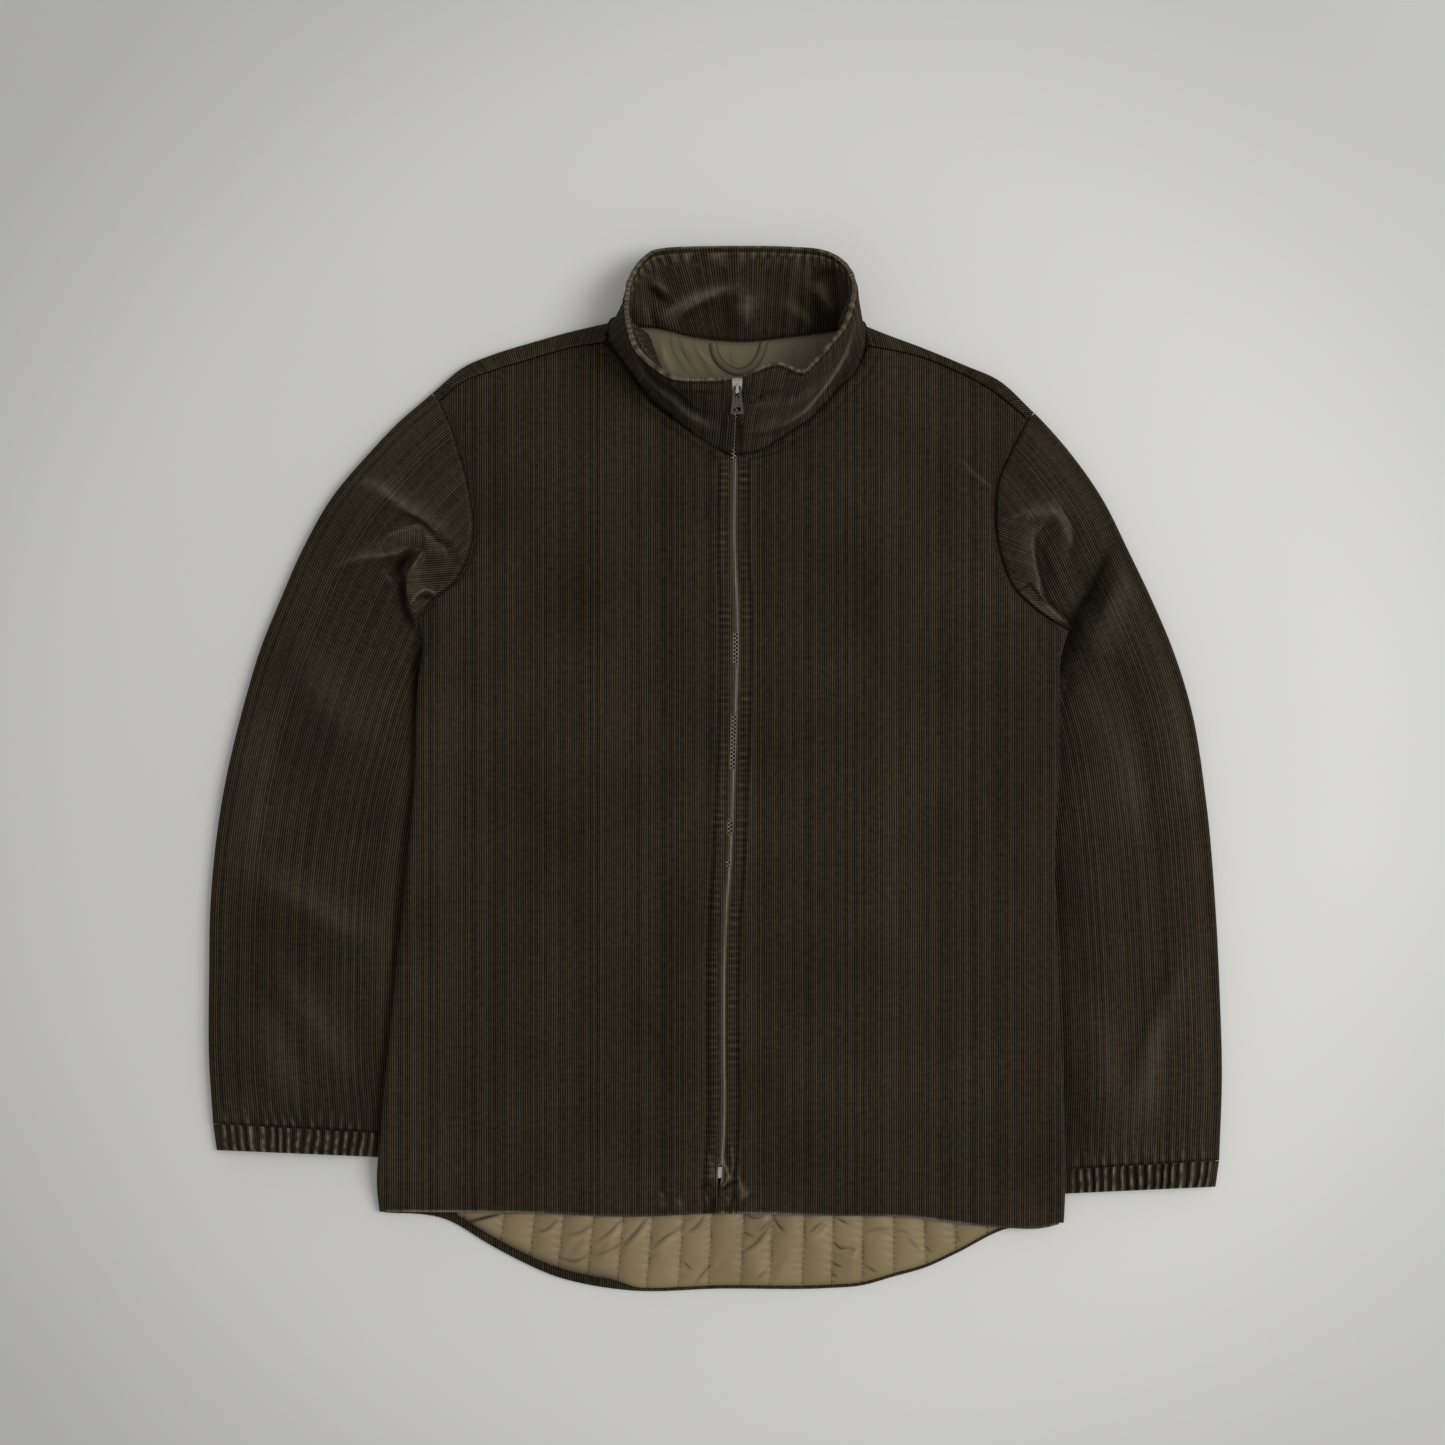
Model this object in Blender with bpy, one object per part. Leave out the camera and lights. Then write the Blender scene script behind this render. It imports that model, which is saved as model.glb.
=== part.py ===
# A padded corduroy jacket that lies flat on a table, front up, zipped, collar toward +Y.
# Left and right are the viewer's. Sizes are millimetres here and metres in the meshes.
# The tables hold places as an eye straight above the jacket sees them, and settle() brings
# each one to its true place at its own height.
import math

import bpy
import bmesh
import numpy as np
from mathutils import Matrix, Vector

for thing in list(bpy.data.objects):
    bpy.data.objects.remove(thing, do_unlink=True)

MM = 0.001
EYE = (5.7, 37.7, 1400.0)      # x, y and height of the eye
CENTRE = (-0.2, -2.05)           # moves the origin to the middle of the outline
BODY_WALL = 4.0                # corduroy, padding and lining together
SLEEVE_WALL = 2.7
CUFF_WALL = 2.3
COLLAR_WALL = 2.0
LINING_WALL = 1.0
SEAM_GAP = 0.3
AIR = 1.2                      # between front and back at the edges
BODY_HEIGHT = 2 * BODY_WALL + AIR
FOLD = BODY_HEIGHT / 2         # radius of the side and shoulder folds
BODY_PUFF = 6.0
SLEEVE_PUFF = 9.0
CUFF_LOFT = 15.0               # keeps the sleeve as open at the cuff seam as the cuff is
SLEEVE_EDGE = 6.0              # height of the sleeve's inner edge, under the body
SLEEVE_SEAM = 8.6              # height of the sleeve at the armhole
SIDE_LIFT = 8.0                # the body's side edges lie on the sleeves
LIFT_WIDTH = 40.0
TUCK = 8.0                     # how far the sleeve goes under the body
SLOT = 2.9                     # half the gap between the fronts at the zip
HEM_SLOT = 0.9                 # and below the zip
TIP = 0.03                     # share of the shoulder seam that lies in the armhole's edge
SIDE_ROWS = 18
ARM_ROWS = 9
NECK_ROWS = 6
SLEEVE_ROWS = 22
CUFF_PLEATS = 18
PLEAT_HEIGHT = 1.3
CHANNEL_PUFF = 3.4
CHANNEL_PITCH = 24.8
CHANNEL_START = -208.0
CORDUROY = (0.045, 0.038, 0.025)
CORDUROY_INSIDE = (0.040, 0.034, 0.022)
LINING = (0.22, 0.17, 0.10)
DARK_METAL = (0.10, 0.09, 0.07)
BRIGHT_METAL = (0.45, 0.43, 0.38)

# zip: y, x from the hem to the neck
ZIP = ((-366, 1.1), (-325, 4), (-282, 6.2), (-231, 5.7), (-157, 6.2), (-120, 7.5), (-72, 10.8),
       (-5, 13.5), (56, 15.6), (133, 16.3), (181, 14.3), (257, 14.9))
# front hem: x, y
HEM = ((-275.5, -363.5), (-160, -364.5), (-65, -367.5), (1, -365), (75, -366.5), (168, -369),
       (202, -373.5), (238, -376.8), (272, -376.3), (285.6, -372.5))
# edge of the drop tail: x, y
TAIL = ((-275.5, -363.5), (-217.7, -371), (-185.7, -390), (-159.5, -404), (-131.6, -416.2),
        (-102.9, -423.5), (-69.3, -428), (3.7, -426.5), (93, -426), (119.3, -424), (146.4, -416.5),
        (172.6, -409), (198, -397.3), (238.2, -377.6), (262, -374), (285.6, -372.5))
# seam at the back of the neck: x, y
BACK_NECK = ((-90, 350.5), (-75, 360.5), (-50, 360.2), (-18, 352.6), (22.5, 348.9), (60, 352.6),
             (94, 357), (112, 359), (123, 349))
# one entry a side: edge from hem to underarm, armhole from underarm to shoulder, neckline from
# zip to shoulder, shoulder seam and shoulder fold from armhole to neck, and the sleeve's outside
LEFT = {
    "sign": -1, "hem_fade": 40, "seam_in": -299.3, "seam_out": -291.3,
    "edge": ((-275.5, -363.5), (-277.6, -345), (-274.6, -297), (-266.9, -214), (-254.6, -93),
             (-246.4, 0), (-244.2, 70), (-240.5, 104), (-245, 122)),
    "arm": ((-245, 122), (-229.2, 140), (-213.2, 153), (-203.8, 170), (-198.3, 192),
            (-199.8, 217), (-204.6, 242), (-210.3, 261), (-216.3, 280), (-226.7, 301.4)),
    "neck": ((12, 255.8), (-4.4, 265.6), (-32.3, 284.5), (-56.2, 303.5), (-78.2, 335.2),
             (-91.4, 349.3)),
    "seam": ((-226.7, 301.4), (-209.8, 315.5), (-183.4, 326), (-153.3, 335.2), (-119.3, 344.8),
             (-91.4, 349.3)),
    "fold": ((-232.5, 307.5), (-204, 330.5), (-183.4, 339), (-153, 348.5), (-119, 358),
             (-87, 365.5)),
    "outer": ((-232.9, 307), (-262, 281.7), (-281.7, 261), (-316, 220), (-339, 179),
              (-357, 138), (-373.5, 97), (-385.8, 56), (-404.7, -26), (-414, -108),
              (-415.3, -170), (-415.3, -240), (-412, -291.3)),
    "cuff_in": (-319, 0), "cuff_out": (-313, -409),
}
RIGHT = {
    "sign": 1, "hem_fade": 24, "seam_in": -329.3, "seam_out": -321.3,
    "edge": ((285.6, -372.5), (286.7, -350), (285.4, -270), (281.7, -193), (279.2, -126),
             (278.4, -68), (281.5, 0), (282.3, 60), (284.5, 97), (290, 112.5)),
    "arm": ((290, 112.5), (275.4, 121), (259.5, 132.4), (244, 148), (234.7, 170),
            (230, 190.7), (229.2, 214), (230.7, 232.9), (240.9, 257.9), (256, 286.5)),
    "neck": ((17.8, 256.5), (37.3, 261.2), (58.6, 274.3), (78.3, 287.4), (99.6, 309.6),
             (116, 326.8), (125, 346.5)),
    "seam": ((256, 286.5), (222, 313), (196.4, 326), (168.3, 337.5), (140, 344), (125, 346.5)),
    "fold": ((261.2, 291.7), (230.4, 319.4), (205.9, 330), (168.3, 345.5), (140, 356),
             (123, 362.8)),
    "outer": ((261.7, 291.4), (271, 281.7), (289, 261), (317.8, 220), (338.3, 179),
              (357.9, 138), (375.2, 97), (388.3, 56), (402.2, -26), (409.6, -108),
              (413.7, -190), (415.3, -250), (413, -321.3)),
    "cuff_in": (-349, 0), "cuff_out": (-343, 410),
}
# collar sections from the left zip edge round the neck: base x, y, z, then rim x, y, z
COLLAR = ((12.0, 259.3, 10.5, 13.3, 321.3, 57), (-6, 269.3, 10.5, -3, 320, 57.5),
          (-29, 288.6, 10.5, -33, 321, 58), (-51, 308, 10.5, -50.5, 330.5, 58),
          (-72.5, 336, 10, -65, 344.5, 58), (-84, 352, 9, -71, 362.5, 57),
          (-83, 365.5, 6.5, -73, 380, 52), (-70, 364.2, 4, -70, 401.5, 43),
          (-48, 362.4, 2.9, -58, 420, 32), (-17, 355, 2.7, -40, 427, 24),
          (22.5, 351, 2.7, 22, 428.5, 19), (60, 355, 2.7, 66, 427.6, 23),
          (92, 359.6, 2.9, 90, 424.5, 31), (108, 363, 4, 106, 414.5, 42),
          (118.5, 364, 6.5, 113.5, 399, 51), (119.5, 350.5, 9, 112.5, 384, 56),
          (112, 327.5, 10, 106, 364.5, 58), (96.5, 311.5, 10.5, 94, 349, 58),
          (76, 290, 10.5, 80.8, 334.2, 57), (57, 277, 10.5, 70.5, 326.5, 57),
          (36, 263.5, 10.5, 50, 333, 58), (17.8, 259, 10.5, 23.3, 323.5, 57))
# largest folds: side, height, half width, then the places x, y along the ridge
FOLDS = ((-1, 5.5, 13, (-290, 214), (-246, 187), (-216, 165)),
         (-1, 4.5, 11, (-266, 168), (-240, 184), (-216, 172)),
         (-1, -4.5, 12, (-262, 158), (-252, 142), (-250, 128)),
         (1, 5.5, 12, (247, 203), (264, 211), (286, 202), (289, 176)),
         (1, -5.0, 13, (324, 176), (310, 149), (290, 126)),
         (-1, 2.6, 16, (-370, -82), (-320, -110), (-268, -139)),
         (-1, 2.4, 16, (-352, -165), (-320, -212), (-292, -262)),
         (1, 2.8, 16, (385, -160), (358, -230), (340, -310)),
         (1, 2.0, 22, (121, 290), (206, 287), (236, 279)),
         (-1, 1.8, 24, (-150, 60), (-110, -60), (-120, -180)),
         (1, 1.8, 24, (170, 40), (130, -80), (140, -210)))


def step(value):
    value = min(max(value, 0.0), 1.0)
    return value * value * (3 - 2 * value)


def rise(distance, width):
    return 1 - math.exp(-max(distance, 0.0) / width)


def smooth(knots, rows):
    # a smooth curve through the rows, read at any knot value
    knots = np.array(knots, float)
    rows = np.array(rows, float)
    slopes = np.gradient(rows, knots, axis=0)

    def at(knot):
        knot = min(max(knot, knots[0]), knots[-1])
        i = min(int(np.searchsorted(knots, knot, side="right")) - 1, len(knots) - 2)
        width = knots[i + 1] - knots[i]
        s = (knot - knots[i]) / width
        ends = (1 + 2 * s) * (1 - s) ** 2 * rows[i] + s * s * (3 - 2 * s) * rows[i + 1]
        return ends + width * (s * (1 - s) ** 2 * slopes[i] - s * s * (1 - s) * slopes[i + 1])

    return at


def path(rows):
    # the same, read from 0 at the first row to 1 at the last, by length
    rows = np.array(rows, float)
    steps = np.linalg.norm(np.diff(rows, axis=0), axis=1)
    return smooth(np.concatenate([[0], np.cumsum(steps)]) / steps.sum(), rows)


def graph(rows):
    # y over x through rows of (x, y), whichever way they run
    rows = sorted(rows)
    return smooth([row[0] for row in rows], [row[1] for row in rows])


def unit(vector):
    return np.array(vector, float) / np.linalg.norm(vector)


zip_x = smooth([row[0] for row in ZIP], [row[1] for row in ZIP])
hem_y = graph(HEM)
tail_y = graph(TAIL)
tail_path = path(TAIL)
back_neck = path(BACK_NECK)
back_neck_y = graph(BACK_NECK)
for side in (LEFT, RIGHT):
    for name in ("edge", "arm", "neck", "seam", "fold", "outer"):
        side[name + "_path"] = path(side[name])
    side["edge_x"] = smooth([row[1] for row in side["edge"]], [row[0] for row in side["edge"]])
    side["seam_y"] = graph(side["seam"])
    side["neck_y"] = graph(side["neck"])
    side["underarm"] = side["arm"][0][1]
    side["hem"] = side["edge"][0][1]


def settle(point):
    # seen from above, a point at height z lies nearer to the middle than it looks
    x, y, z = point
    pull = 1 - z / EYE[2]
    return Vector(((EYE[0] + (x - EYE[0]) * pull - CENTRE[0]) * MM,
                   (EYE[1] + (y - EYE[1]) * pull - CENTRE[1]) * MM, z * MM))


def side_lift(x, y):
    # the body's edges ride up on the sleeves that lie under them
    side = LEFT if x < EYE[0] else RIGHT
    inside = (x - side["edge_x"](y)) * -side["sign"]
    fade = step((y - side["hem"]) / side["hem_fade"]) * step((side["underarm"] - 2 - y) / 30)
    return SIDE_LIFT * step(1 - max(inside, 0) / LIFT_WIDTH) * fade


def fold_height(x, y, sign):
    total = 0.0
    for fold_sign, height, width, *places in FOLDS:
        if fold_sign != sign:
            continue
        nearest = 1e9
        along = 0.0
        for i in range(len(places) - 1):
            start = np.array(places[i], float)
            run = np.array(places[i + 1], float) - start
            t = float(np.clip(np.dot((x, y) - start, run) / np.dot(run, run), 0, 1))
            distance = float(np.linalg.norm(start + run * t - (x, y)))
            if distance < nearest:
                nearest = distance
                along = (i + t) / (len(places) - 1)
        total += height * math.exp(-(nearest / width) ** 2) * (0.35 + 0.65 * math.sin(math.pi * along))
    return total


def give_material(thing, colour, roughness, metallic=0.0):
    material = bpy.data.materials.new(thing.name)
    material.use_nodes = True
    shader = material.node_tree.nodes["Principled BSDF"]
    shader.inputs["Base Color"].default_value = (*colour, 1)
    shader.inputs["Roughness"].default_value = roughness
    shader.inputs["Metallic"].default_value = metallic
    material.diffuse_color = (*colour, 1)
    thing.data.materials.append(material)


def new_piece(name, bm, colour, roughness=0.9, metallic=0.0):
    bmesh.ops.recalc_face_normals(bm, faces=bm.faces)
    mesh = bpy.data.meshes.new(name)
    bm.to_mesh(mesh)
    bm.free()
    mesh.shade_smooth()
    mesh.set_sharp_from_angle(angle=math.radians(50))
    thing = bpy.data.objects.new(name, mesh)
    bpy.context.scene.collection.objects.link(thing)
    give_material(thing, colour, roughness, metallic)
    return thing


def cloth(name, outer, inner, colour, present=None, closed=False):
    # a wall of cloth between two grids of points; present says which cells are cut out of it
    rows = len(outer)
    columns = len(outer[0])
    last = columns if closed else columns - 1
    bm = bmesh.new()
    corners = {}

    def vertex(layer, row, column):
        key = (layer, row, column % columns)
        if key not in corners:
            corners[key] = bm.verts.new(settle((outer, inner)[layer][row][column % columns]))
        return corners[key]

    def filled(row, column):
        if closed:
            column %= columns
        inside = 0 <= row < rows - 1 and 0 <= column < last
        return inside and (present is None or present(row, column))

    for row in range(rows - 1):
        for column in range(last):
            if not filled(row, column):
                continue
            ring = ((row, column), (row, column + 1), (row + 1, column + 1), (row + 1, column))
            beyond = ((row - 1, column), (row, column + 1), (row + 1, column), (row, column - 1))
            bm.faces.new([vertex(0, *corner) for corner in ring])
            bm.faces.new([vertex(1, *corner) for corner in reversed(ring)])
            for i in range(4):
                if not filled(*beyond[i]):
                    a, b = ring[i], ring[(i + 1) % 4]
                    bm.faces.new((vertex(0, *b), vertex(0, *a), vertex(1, *a), vertex(1, *b)))
    return new_piece(name, bm, colour)


def body_edge(side, row):
    if row <= SIDE_ROWS:
        return side["edge_path"](row / SIDE_ROWS)
    return side["arm_path"]((row - SIDE_ROWS) / ARM_ROWS)


def side_turn(row):
    # 1 where front and back meet in a fold, 0 along the armhole
    return 1 - step(row - SIDE_ROWS + 0.5)


def slot(y):
    return SLOT - (SLOT - HEM_SLOT) * step((-350 - y) / 12)


def front_inner(side, row):
    split = SIDE_ROWS + ARM_ROWS - NECK_ROWS
    if row <= split:
        y = ZIP[0][0] + (side["neck"][0][1] - ZIP[0][0]) * row / split
        return np.array((zip_x(y) + side["sign"] * slot(y), y))
    return side["neck_path"]((row - split) / NECK_ROWS)


def patch(left, right, bottom, top, u, v):
    # a surface patch between four edges that share their corners
    corners = ((1 - u) * (1 - v) * left(0) + u * (1 - v) * right(0)
               + (1 - u) * v * left(1) + u * v * right(1))
    return (1 - u) * left(v) + u * right(v) + (1 - v) * bottom(u) + v * top(u) - corners


def front_height(side, point, to_edge, to_zip, row):
    x, y = point
    to_hem = y - hem_y(x)
    to_shoulder = side["seam_y"](x) - y
    puff = BODY_PUFF * rise(to_edge, 28) * rise(to_hem + 2, 22) * rise(to_shoulder + 1, 26)
    puff *= 0.6 + 0.4 * rise(to_zip, 14)
    dip = 1.0 * (1 - side_turn(row)) * math.exp(-(to_edge / 5) ** 2)
    over_tail = 4.0 * step(1 - (to_hem - 12) / 30) * step((x + 250) / 34) * step((268 - x) / 34)
    folds = fold_height(x, y, side["sign"]) * rise(to_edge, 10) * rise(to_hem, 15)
    return BODY_HEIGHT + side_lift(x, y) + puff - dip + over_tail + folds


def front_panel(name, side):
    rows_all = SIDE_ROWS + ARM_ROWS
    rows = [0, 0.06, 0.2] + list(range(1, rows_all + 1))
    across = (0, 0.006, 0.02, 0.06, 0.13, 0.22, 0.32, 0.42, 0.52, 0.62, 0.72, 0.81, 0.88, 0.94, 1)
    hem_in = front_inner(side, 0)
    neck_end = side["neck_path"](1)

    def fold_start(row):
        edge = body_edge(side, row)
        return edge + FOLD * unit(front_inner(side, row) - edge)

    def bottom(u):
        x = hem_in[0] + (fold_start(0)[0] - hem_in[0]) * u
        return np.array((x, hem_y(x)))

    def top(u):
        x = neck_end[0] + (fold_start(rows_all)[0] - neck_end[0]) * u
        return np.array((x, side["seam_y"](x) - 2 * SEAM_GAP))

    outer = []
    inner = []
    for row in rows:
        edge = body_edge(side, row)
        zip_edge = front_inner(side, row)
        start = fold_start(row)
        turn = side_turn(row)
        to_hem = math.dist(edge, body_edge(side, 0)) if row < 1 else 99
        hem_ease = 1.5 * math.exp(-to_hem / 1.5)
        line_out = []
        line_in = []
        for u in across:
            spot = patch(lambda v: front_inner(side, v * rows_all), lambda v: fold_start(v * rows_all),
                         bottom, top, u, row / rows_all)
            to_zip = math.dist(spot, zip_edge)
            height = front_height(side, spot, math.dist(spot, edge), to_zip, row)
            ease = max(hem_ease, 1.3 * math.exp(-to_zip / 1.4) if row < rows_all - NECK_ROWS else 0)
            crest = height
            line_out.append((*spot, height - ease))
            line_in.append((*spot, height - BODY_WALL + 0.6 * ease))
        middle = FOLD + side_lift(*edge) + SEAM_GAP / 2
        for i in (1, 2, 3):
            angle = math.radians(30 * i)
            reach = turn * math.sin(angle) + (1 - turn) * i / 3
            reach_in = turn * math.sin(angle) * AIR / 2 / FOLD + (1 - turn) * i / 3
            drop = turn * (1 - math.cos(angle))
            spot = start + (edge - start) * reach
            height = front_height(side, spot, math.dist(spot, edge), 99, row)
            height = height * (1 - turn) + crest * turn
            out_z = height - drop * (height - middle)
            in_z = height - BODY_WALL - drop * (height - BODY_WALL - middle)
            line_out.append((*spot, out_z - hem_ease * (1 - drop)))
            line_in.append((*(start + (edge - start) * reach_in), in_z))
        outer.append(line_out)
        inner.append(line_in)
    return cloth(name, outer, inner, CORDUROY)


def back_panel():
    rows_all = SIDE_ROWS + ARM_ROWS
    rows = [0, 0.04, 0.12] + list(range(1, rows_all + 1))
    shoulder = (0.02, 0.045, 0.075, 0.13, 0.19, 0.245, 0.3)
    neck = (0.367, 0.433, 0.5, 0.567, 0.633)
    across = (0,) + shoulder + neck + tuple(1 - u for u in reversed(shoulder)) + (1,)

    def fold_start(side, row):
        edge = body_edge(side, row)
        return edge + FOLD * unit(body_edge(RIGHT if side is LEFT else LEFT, row) - edge)

    def bottom(u):
        low, high = fold_start(LEFT, 0), fold_start(RIGHT, 0)
        x = low[0] + (high[0] - low[0]) * u
        return np.array((x, tail_y(x)))

    def top(u):
        if u < 0.3:
            return LEFT["seam_path"](TIP + (1 - TIP) * u / 0.3)
        if u > 0.7:
            return RIGHT["seam_path"](TIP + (1 - TIP) * (1 - u) / 0.3)
        return back_neck((u - 0.3) / 0.4)

    outer = []
    inner = []
    for row in rows:
        ease = 1.1 * math.exp(-row * 12)
        line_out = []
        line_in = []
        for u in across:
            spot = patch(lambda v: fold_start(LEFT, v * rows_all), lambda v: fold_start(RIGHT, v * rows_all),
                         bottom, top, u, row / rows_all)
            lift = side_lift(*spot)
            line_out.append((*spot, lift + 0.6 * ease))
            line_in.append((*spot, lift + BODY_WALL - ease))
        turn = side_turn(row)
        for side in (LEFT, RIGHT):
            edge = body_edge(side, row)
            start = fold_start(side, row)
            lift = side_lift(*start)
            middle = FOLD + side_lift(*edge) - SEAM_GAP / 2
            for i in (1, 2, 3):
                angle = math.radians(30 * i)
                reach = turn * math.sin(angle) + (1 - turn) * i / 3
                reach_in = turn * math.sin(angle) * AIR / 2 / FOLD + (1 - turn) * i / 3
                climb = turn * (1 - math.cos(angle))
                out_point = (*(start + (edge - start) * reach), lift + climb * (middle - lift))
                in_z = lift + BODY_WALL + climb * (middle - lift - BODY_WALL)
                in_point = (*(start + (edge - start) * reach_in), in_z)
                if side is LEFT:
                    line_out.insert(0, out_point)
                    line_in.insert(0, in_point)
                else:
                    line_out.append(out_point)
                    line_in.append(in_point)
        outer.append(line_out)
        inner.append(line_in)
    # the shoulder strips: up round the shoulder fold and down the front to the shoulder seam
    flat_rows = len(outer)
    edge_columns = 3
    columns = len(outer[0])
    wrap = [(angle, 0) for angle in (0, 45, 90, 135, 180)] + [(180, 0.5), (180, 1)]
    for angle, along in wrap:
        line_out = []
        line_in = []
        for column in range(columns):
            u = across[min(max(column - edge_columns, 0), len(across) - 1)]
            side, s = (LEFT, u / 0.3) if u < 0.5 else (RIGHT, (1 - u) / 0.3)
            s = TIP + (1 - TIP) * min(s, 1.0)
            beyond = max(edge_columns - column, column - (columns - 1 - edge_columns), 0)
            s *= 1 - beyond / edge_columns
            seam = side["seam_path"](s)
            fold = side["fold_path"](s)
            inward = unit(seam - fold)
            turned = math.radians(angle)
            start = fold + FOLD * inward
            if along:
                start = start + (seam + inward * -SEAM_GAP - start) * along
            line_out.append((*(start - inward * FOLD * math.sin(turned)), FOLD - FOLD * math.cos(turned)))
            line_in.append((*(start - inward * AIR / 2 * math.sin(turned)),
                            FOLD - AIR / 2 * math.cos(turned)))
        outer.append(line_out)
        inner.append(line_in)

    def present(row, column):
        if row < flat_rows - 1:
            return True
        left_end = edge_columns + len(shoulder)
        return column < left_end or column >= columns - 1 - left_end

    return cloth("back_panel", outer, inner, CORDUROY, present)


def sleeve_line(side, row):
    # the inner and outer ends of a section across the sleeve, from the shoulder to the cuff
    head = 0.283
    if row <= ARM_ROWS:
        t = 1 - row / ARM_ROWS
        place = side["arm_path"](t)
        along = unit(side["arm_path"](min(t + 0.02, 1)) - side["arm_path"](max(t - 0.02, 0)))
        away = np.array((-along[1], along[0])) * -side["sign"]
        return place + away * SEAM_GAP, side["outer_path"](head * row / ARM_ROWS)
    w = (row - ARM_ROWS) / SLEEVE_ROWS
    y = side["underarm"] + (side["seam_in"] - side["underarm"]) * w
    tuck = -1.5 + (TUCK + 1.5) * step((side["underarm"] - 22 - y) / 45)
    inner = np.array((side["edge_x"](y) - side["sign"] * tuck, y))
    return inner, side["outer_path"](head + (1 - head) * w)


def sleeve(name, side):
    rows_all = ARM_ROWS + SLEEVE_ROWS
    spread = (0.12, 0.26, 0.42, 0.58, 0.74, 0.88, 1)
    outer = []
    inner = []
    for row in range(rows_all + 1):
        start, end = sleeve_line(side, row)
        width = math.dist(start, end)
        along = (end - start) / width
        free = step((row - ARM_ROWS) / 2)        # 0 at the armhole, 1 where the tube is closed
        to_cuff = (rows_all - row) / SLEEVE_ROWS * 420
        inset = min(3.0, 0.3 * (width - FOLD))
        low = SLEEVE_SEAM + (SLEEVE_EDGE - SLEEVE_SEAM) * free

        def top(d):
            puff = SLEEVE_PUFF * rise(width - d, 16) * rise(d - 10 * free, 18)
            puff *= rise(to_cuff + CUFF_LOFT, 30)
            x, y = start + along * d
            folds = fold_height(x, y, side["sign"]) * rise(width - d, 12) * rise(d - 10 * free, 10)
            return low + (BODY_HEIGHT - 0.4 - low) * d / width + puff + folds

        places = [(0, 0.5 * low, 0), (0.9 * free, None, 0.7), (inset, None, 1)]
        places += [(inset + f * (width - FOLD - inset), None, 1) for f in spread]
        crest = top(width - FOLD)
        for angle in (45, 90, 135):
            turned = math.radians(angle)
            places.append((width - FOLD + FOLD * math.sin(turned), crest / 2 * (1 + math.cos(turned)), angle))
        places += [(inset + f * (width - FOLD - inset), 0, 1) for f in (1, 0.66, 0.33, 0)]
        places.append((0.9 * free, 0.9 * free, 0))
        line_out = []
        line_in = []
        margin = SLEEVE_WALL + 0.25
        for i, (d, z, _) in enumerate(places):
            if z is None:
                z = top(d)
            if i == 1:
                z -= 0.9 * free
            line_out.append((*(start + along * d), z))
            deep = free * margin + (width - (1 + free) * margin) * d / width
            if i == 0:
                z_in = z
                deep = max(deep, 1.2)
            elif i < 10:
                z_in = z - SLEEVE_WALL + (0.9 * free if i == 1 else 0)
            elif i < 13:
                z_in = crest / 2 + (crest / 2 - SLEEVE_WALL) * math.cos(math.radians(45 * (i - 9)))
            else:
                z_in = SLEEVE_WALL
            line_in.append((*(start + along * deep), z_in))
        outer.append(line_out)
        inner.append(line_in)
    columns = len(outer[0])

    def present(row, column):
        return row >= ARM_ROWS or 1 <= column < columns - 1

    return cloth(name, outer, inner, CORDUROY, present, closed=True)


def cuff(name, side):
    seam_in, seam_out = sleeve_line(side, ARM_ROWS + SLEEVE_ROWS)
    end_y, end_x = side["cuff_out"]
    low_y = side["cuff_in"][0]
    low_in = np.array((side["edge_x"](low_y) - side["sign"] * TUCK, low_y))
    gap = np.array((0, -SEAM_GAP))
    count = 4 * CUFF_PLEATS
    outer = []
    inner = []
    for along in (0, 0.1, 0.5, 0.9, 1):
        start = seam_in + gap + (low_in - seam_in - gap) * along
        end = seam_out + gap + (np.array((end_x, end_y)) - seam_out - gap) * along
        width = math.dist(start, end)
        across = (end - start) / width
        ease = 1.1 * (1 - math.sin(math.pi * min(max(along, 0.02), 0.98)) ** 0.25)
        spots = [(0, SLEEVE_EDGE / 2, SLEEVE_EDGE / 2), (0.9, 5.1, 3.15)]
        for i in range(count + 1):
            d = 3 + (width - 3 - FOLD) * i / count
            base = SLEEVE_EDGE + 5.4 * rise(d - 10, 14) * rise(width - d, 14)
            pleats = PLEAT_HEIGHT * step((d - 9) / 10) * step((width - d - 4) / 6)
            wave = pleats * (1 - math.cos(2 * math.pi * CUFF_PLEATS * i / count))
            spots.append((d, base + wave - ease, base - CUFF_WALL - 0.4))
        crest = spots[-1][1]
        for angle in (45, 90, 135):
            turned = math.radians(angle)
            tall = crest / 2
            spots.append((width - FOLD + FOLD * math.sin(turned), tall + tall * math.cos(turned),
                          tall + (tall - CUFF_WALL) * 0.6 * math.cos(turned)))
        spots += [(3 + (width - 3 - FOLD) * f, 0, CUFF_WALL) for f in (1, 0.5, 0)]
        spots.append((0.9, 0.9, CUFF_WALL))
        margin = CUFF_WALL + 0.4
        outer.append([(*(start + across * d), z) for d, z, _ in spots])
        inner.append([(*(start + across * (margin + (width - 2 * margin) * d / width)), z)
                      for d, _, z in spots])
    return cloth(name, outer, inner, CORDUROY, closed=True)


def collar_grid():
    # the surface between the two layers, from the neck seam to the rim, and its outward normals
    sections = smooth(range(len(COLLAR)), COLLAR)
    levels = (0, 0.2, 0.45, 0.7, 0.9, 0.97, 1)
    grid = []
    for i in range(2 * len(COLLAR) - 1):
        section = sections(i / 2)
        base, rim = section[:3], section[3:]
        grid.append([base + (rim - base) * level for level in levels])
    grid = np.array(grid)
    around = np.gradient(grid, axis=0)
    upward = np.gradient(grid, axis=1)
    normals = np.cross(upward, around)
    normals /= np.linalg.norm(normals, axis=2)[:, :, None]
    return grid, normals


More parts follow.
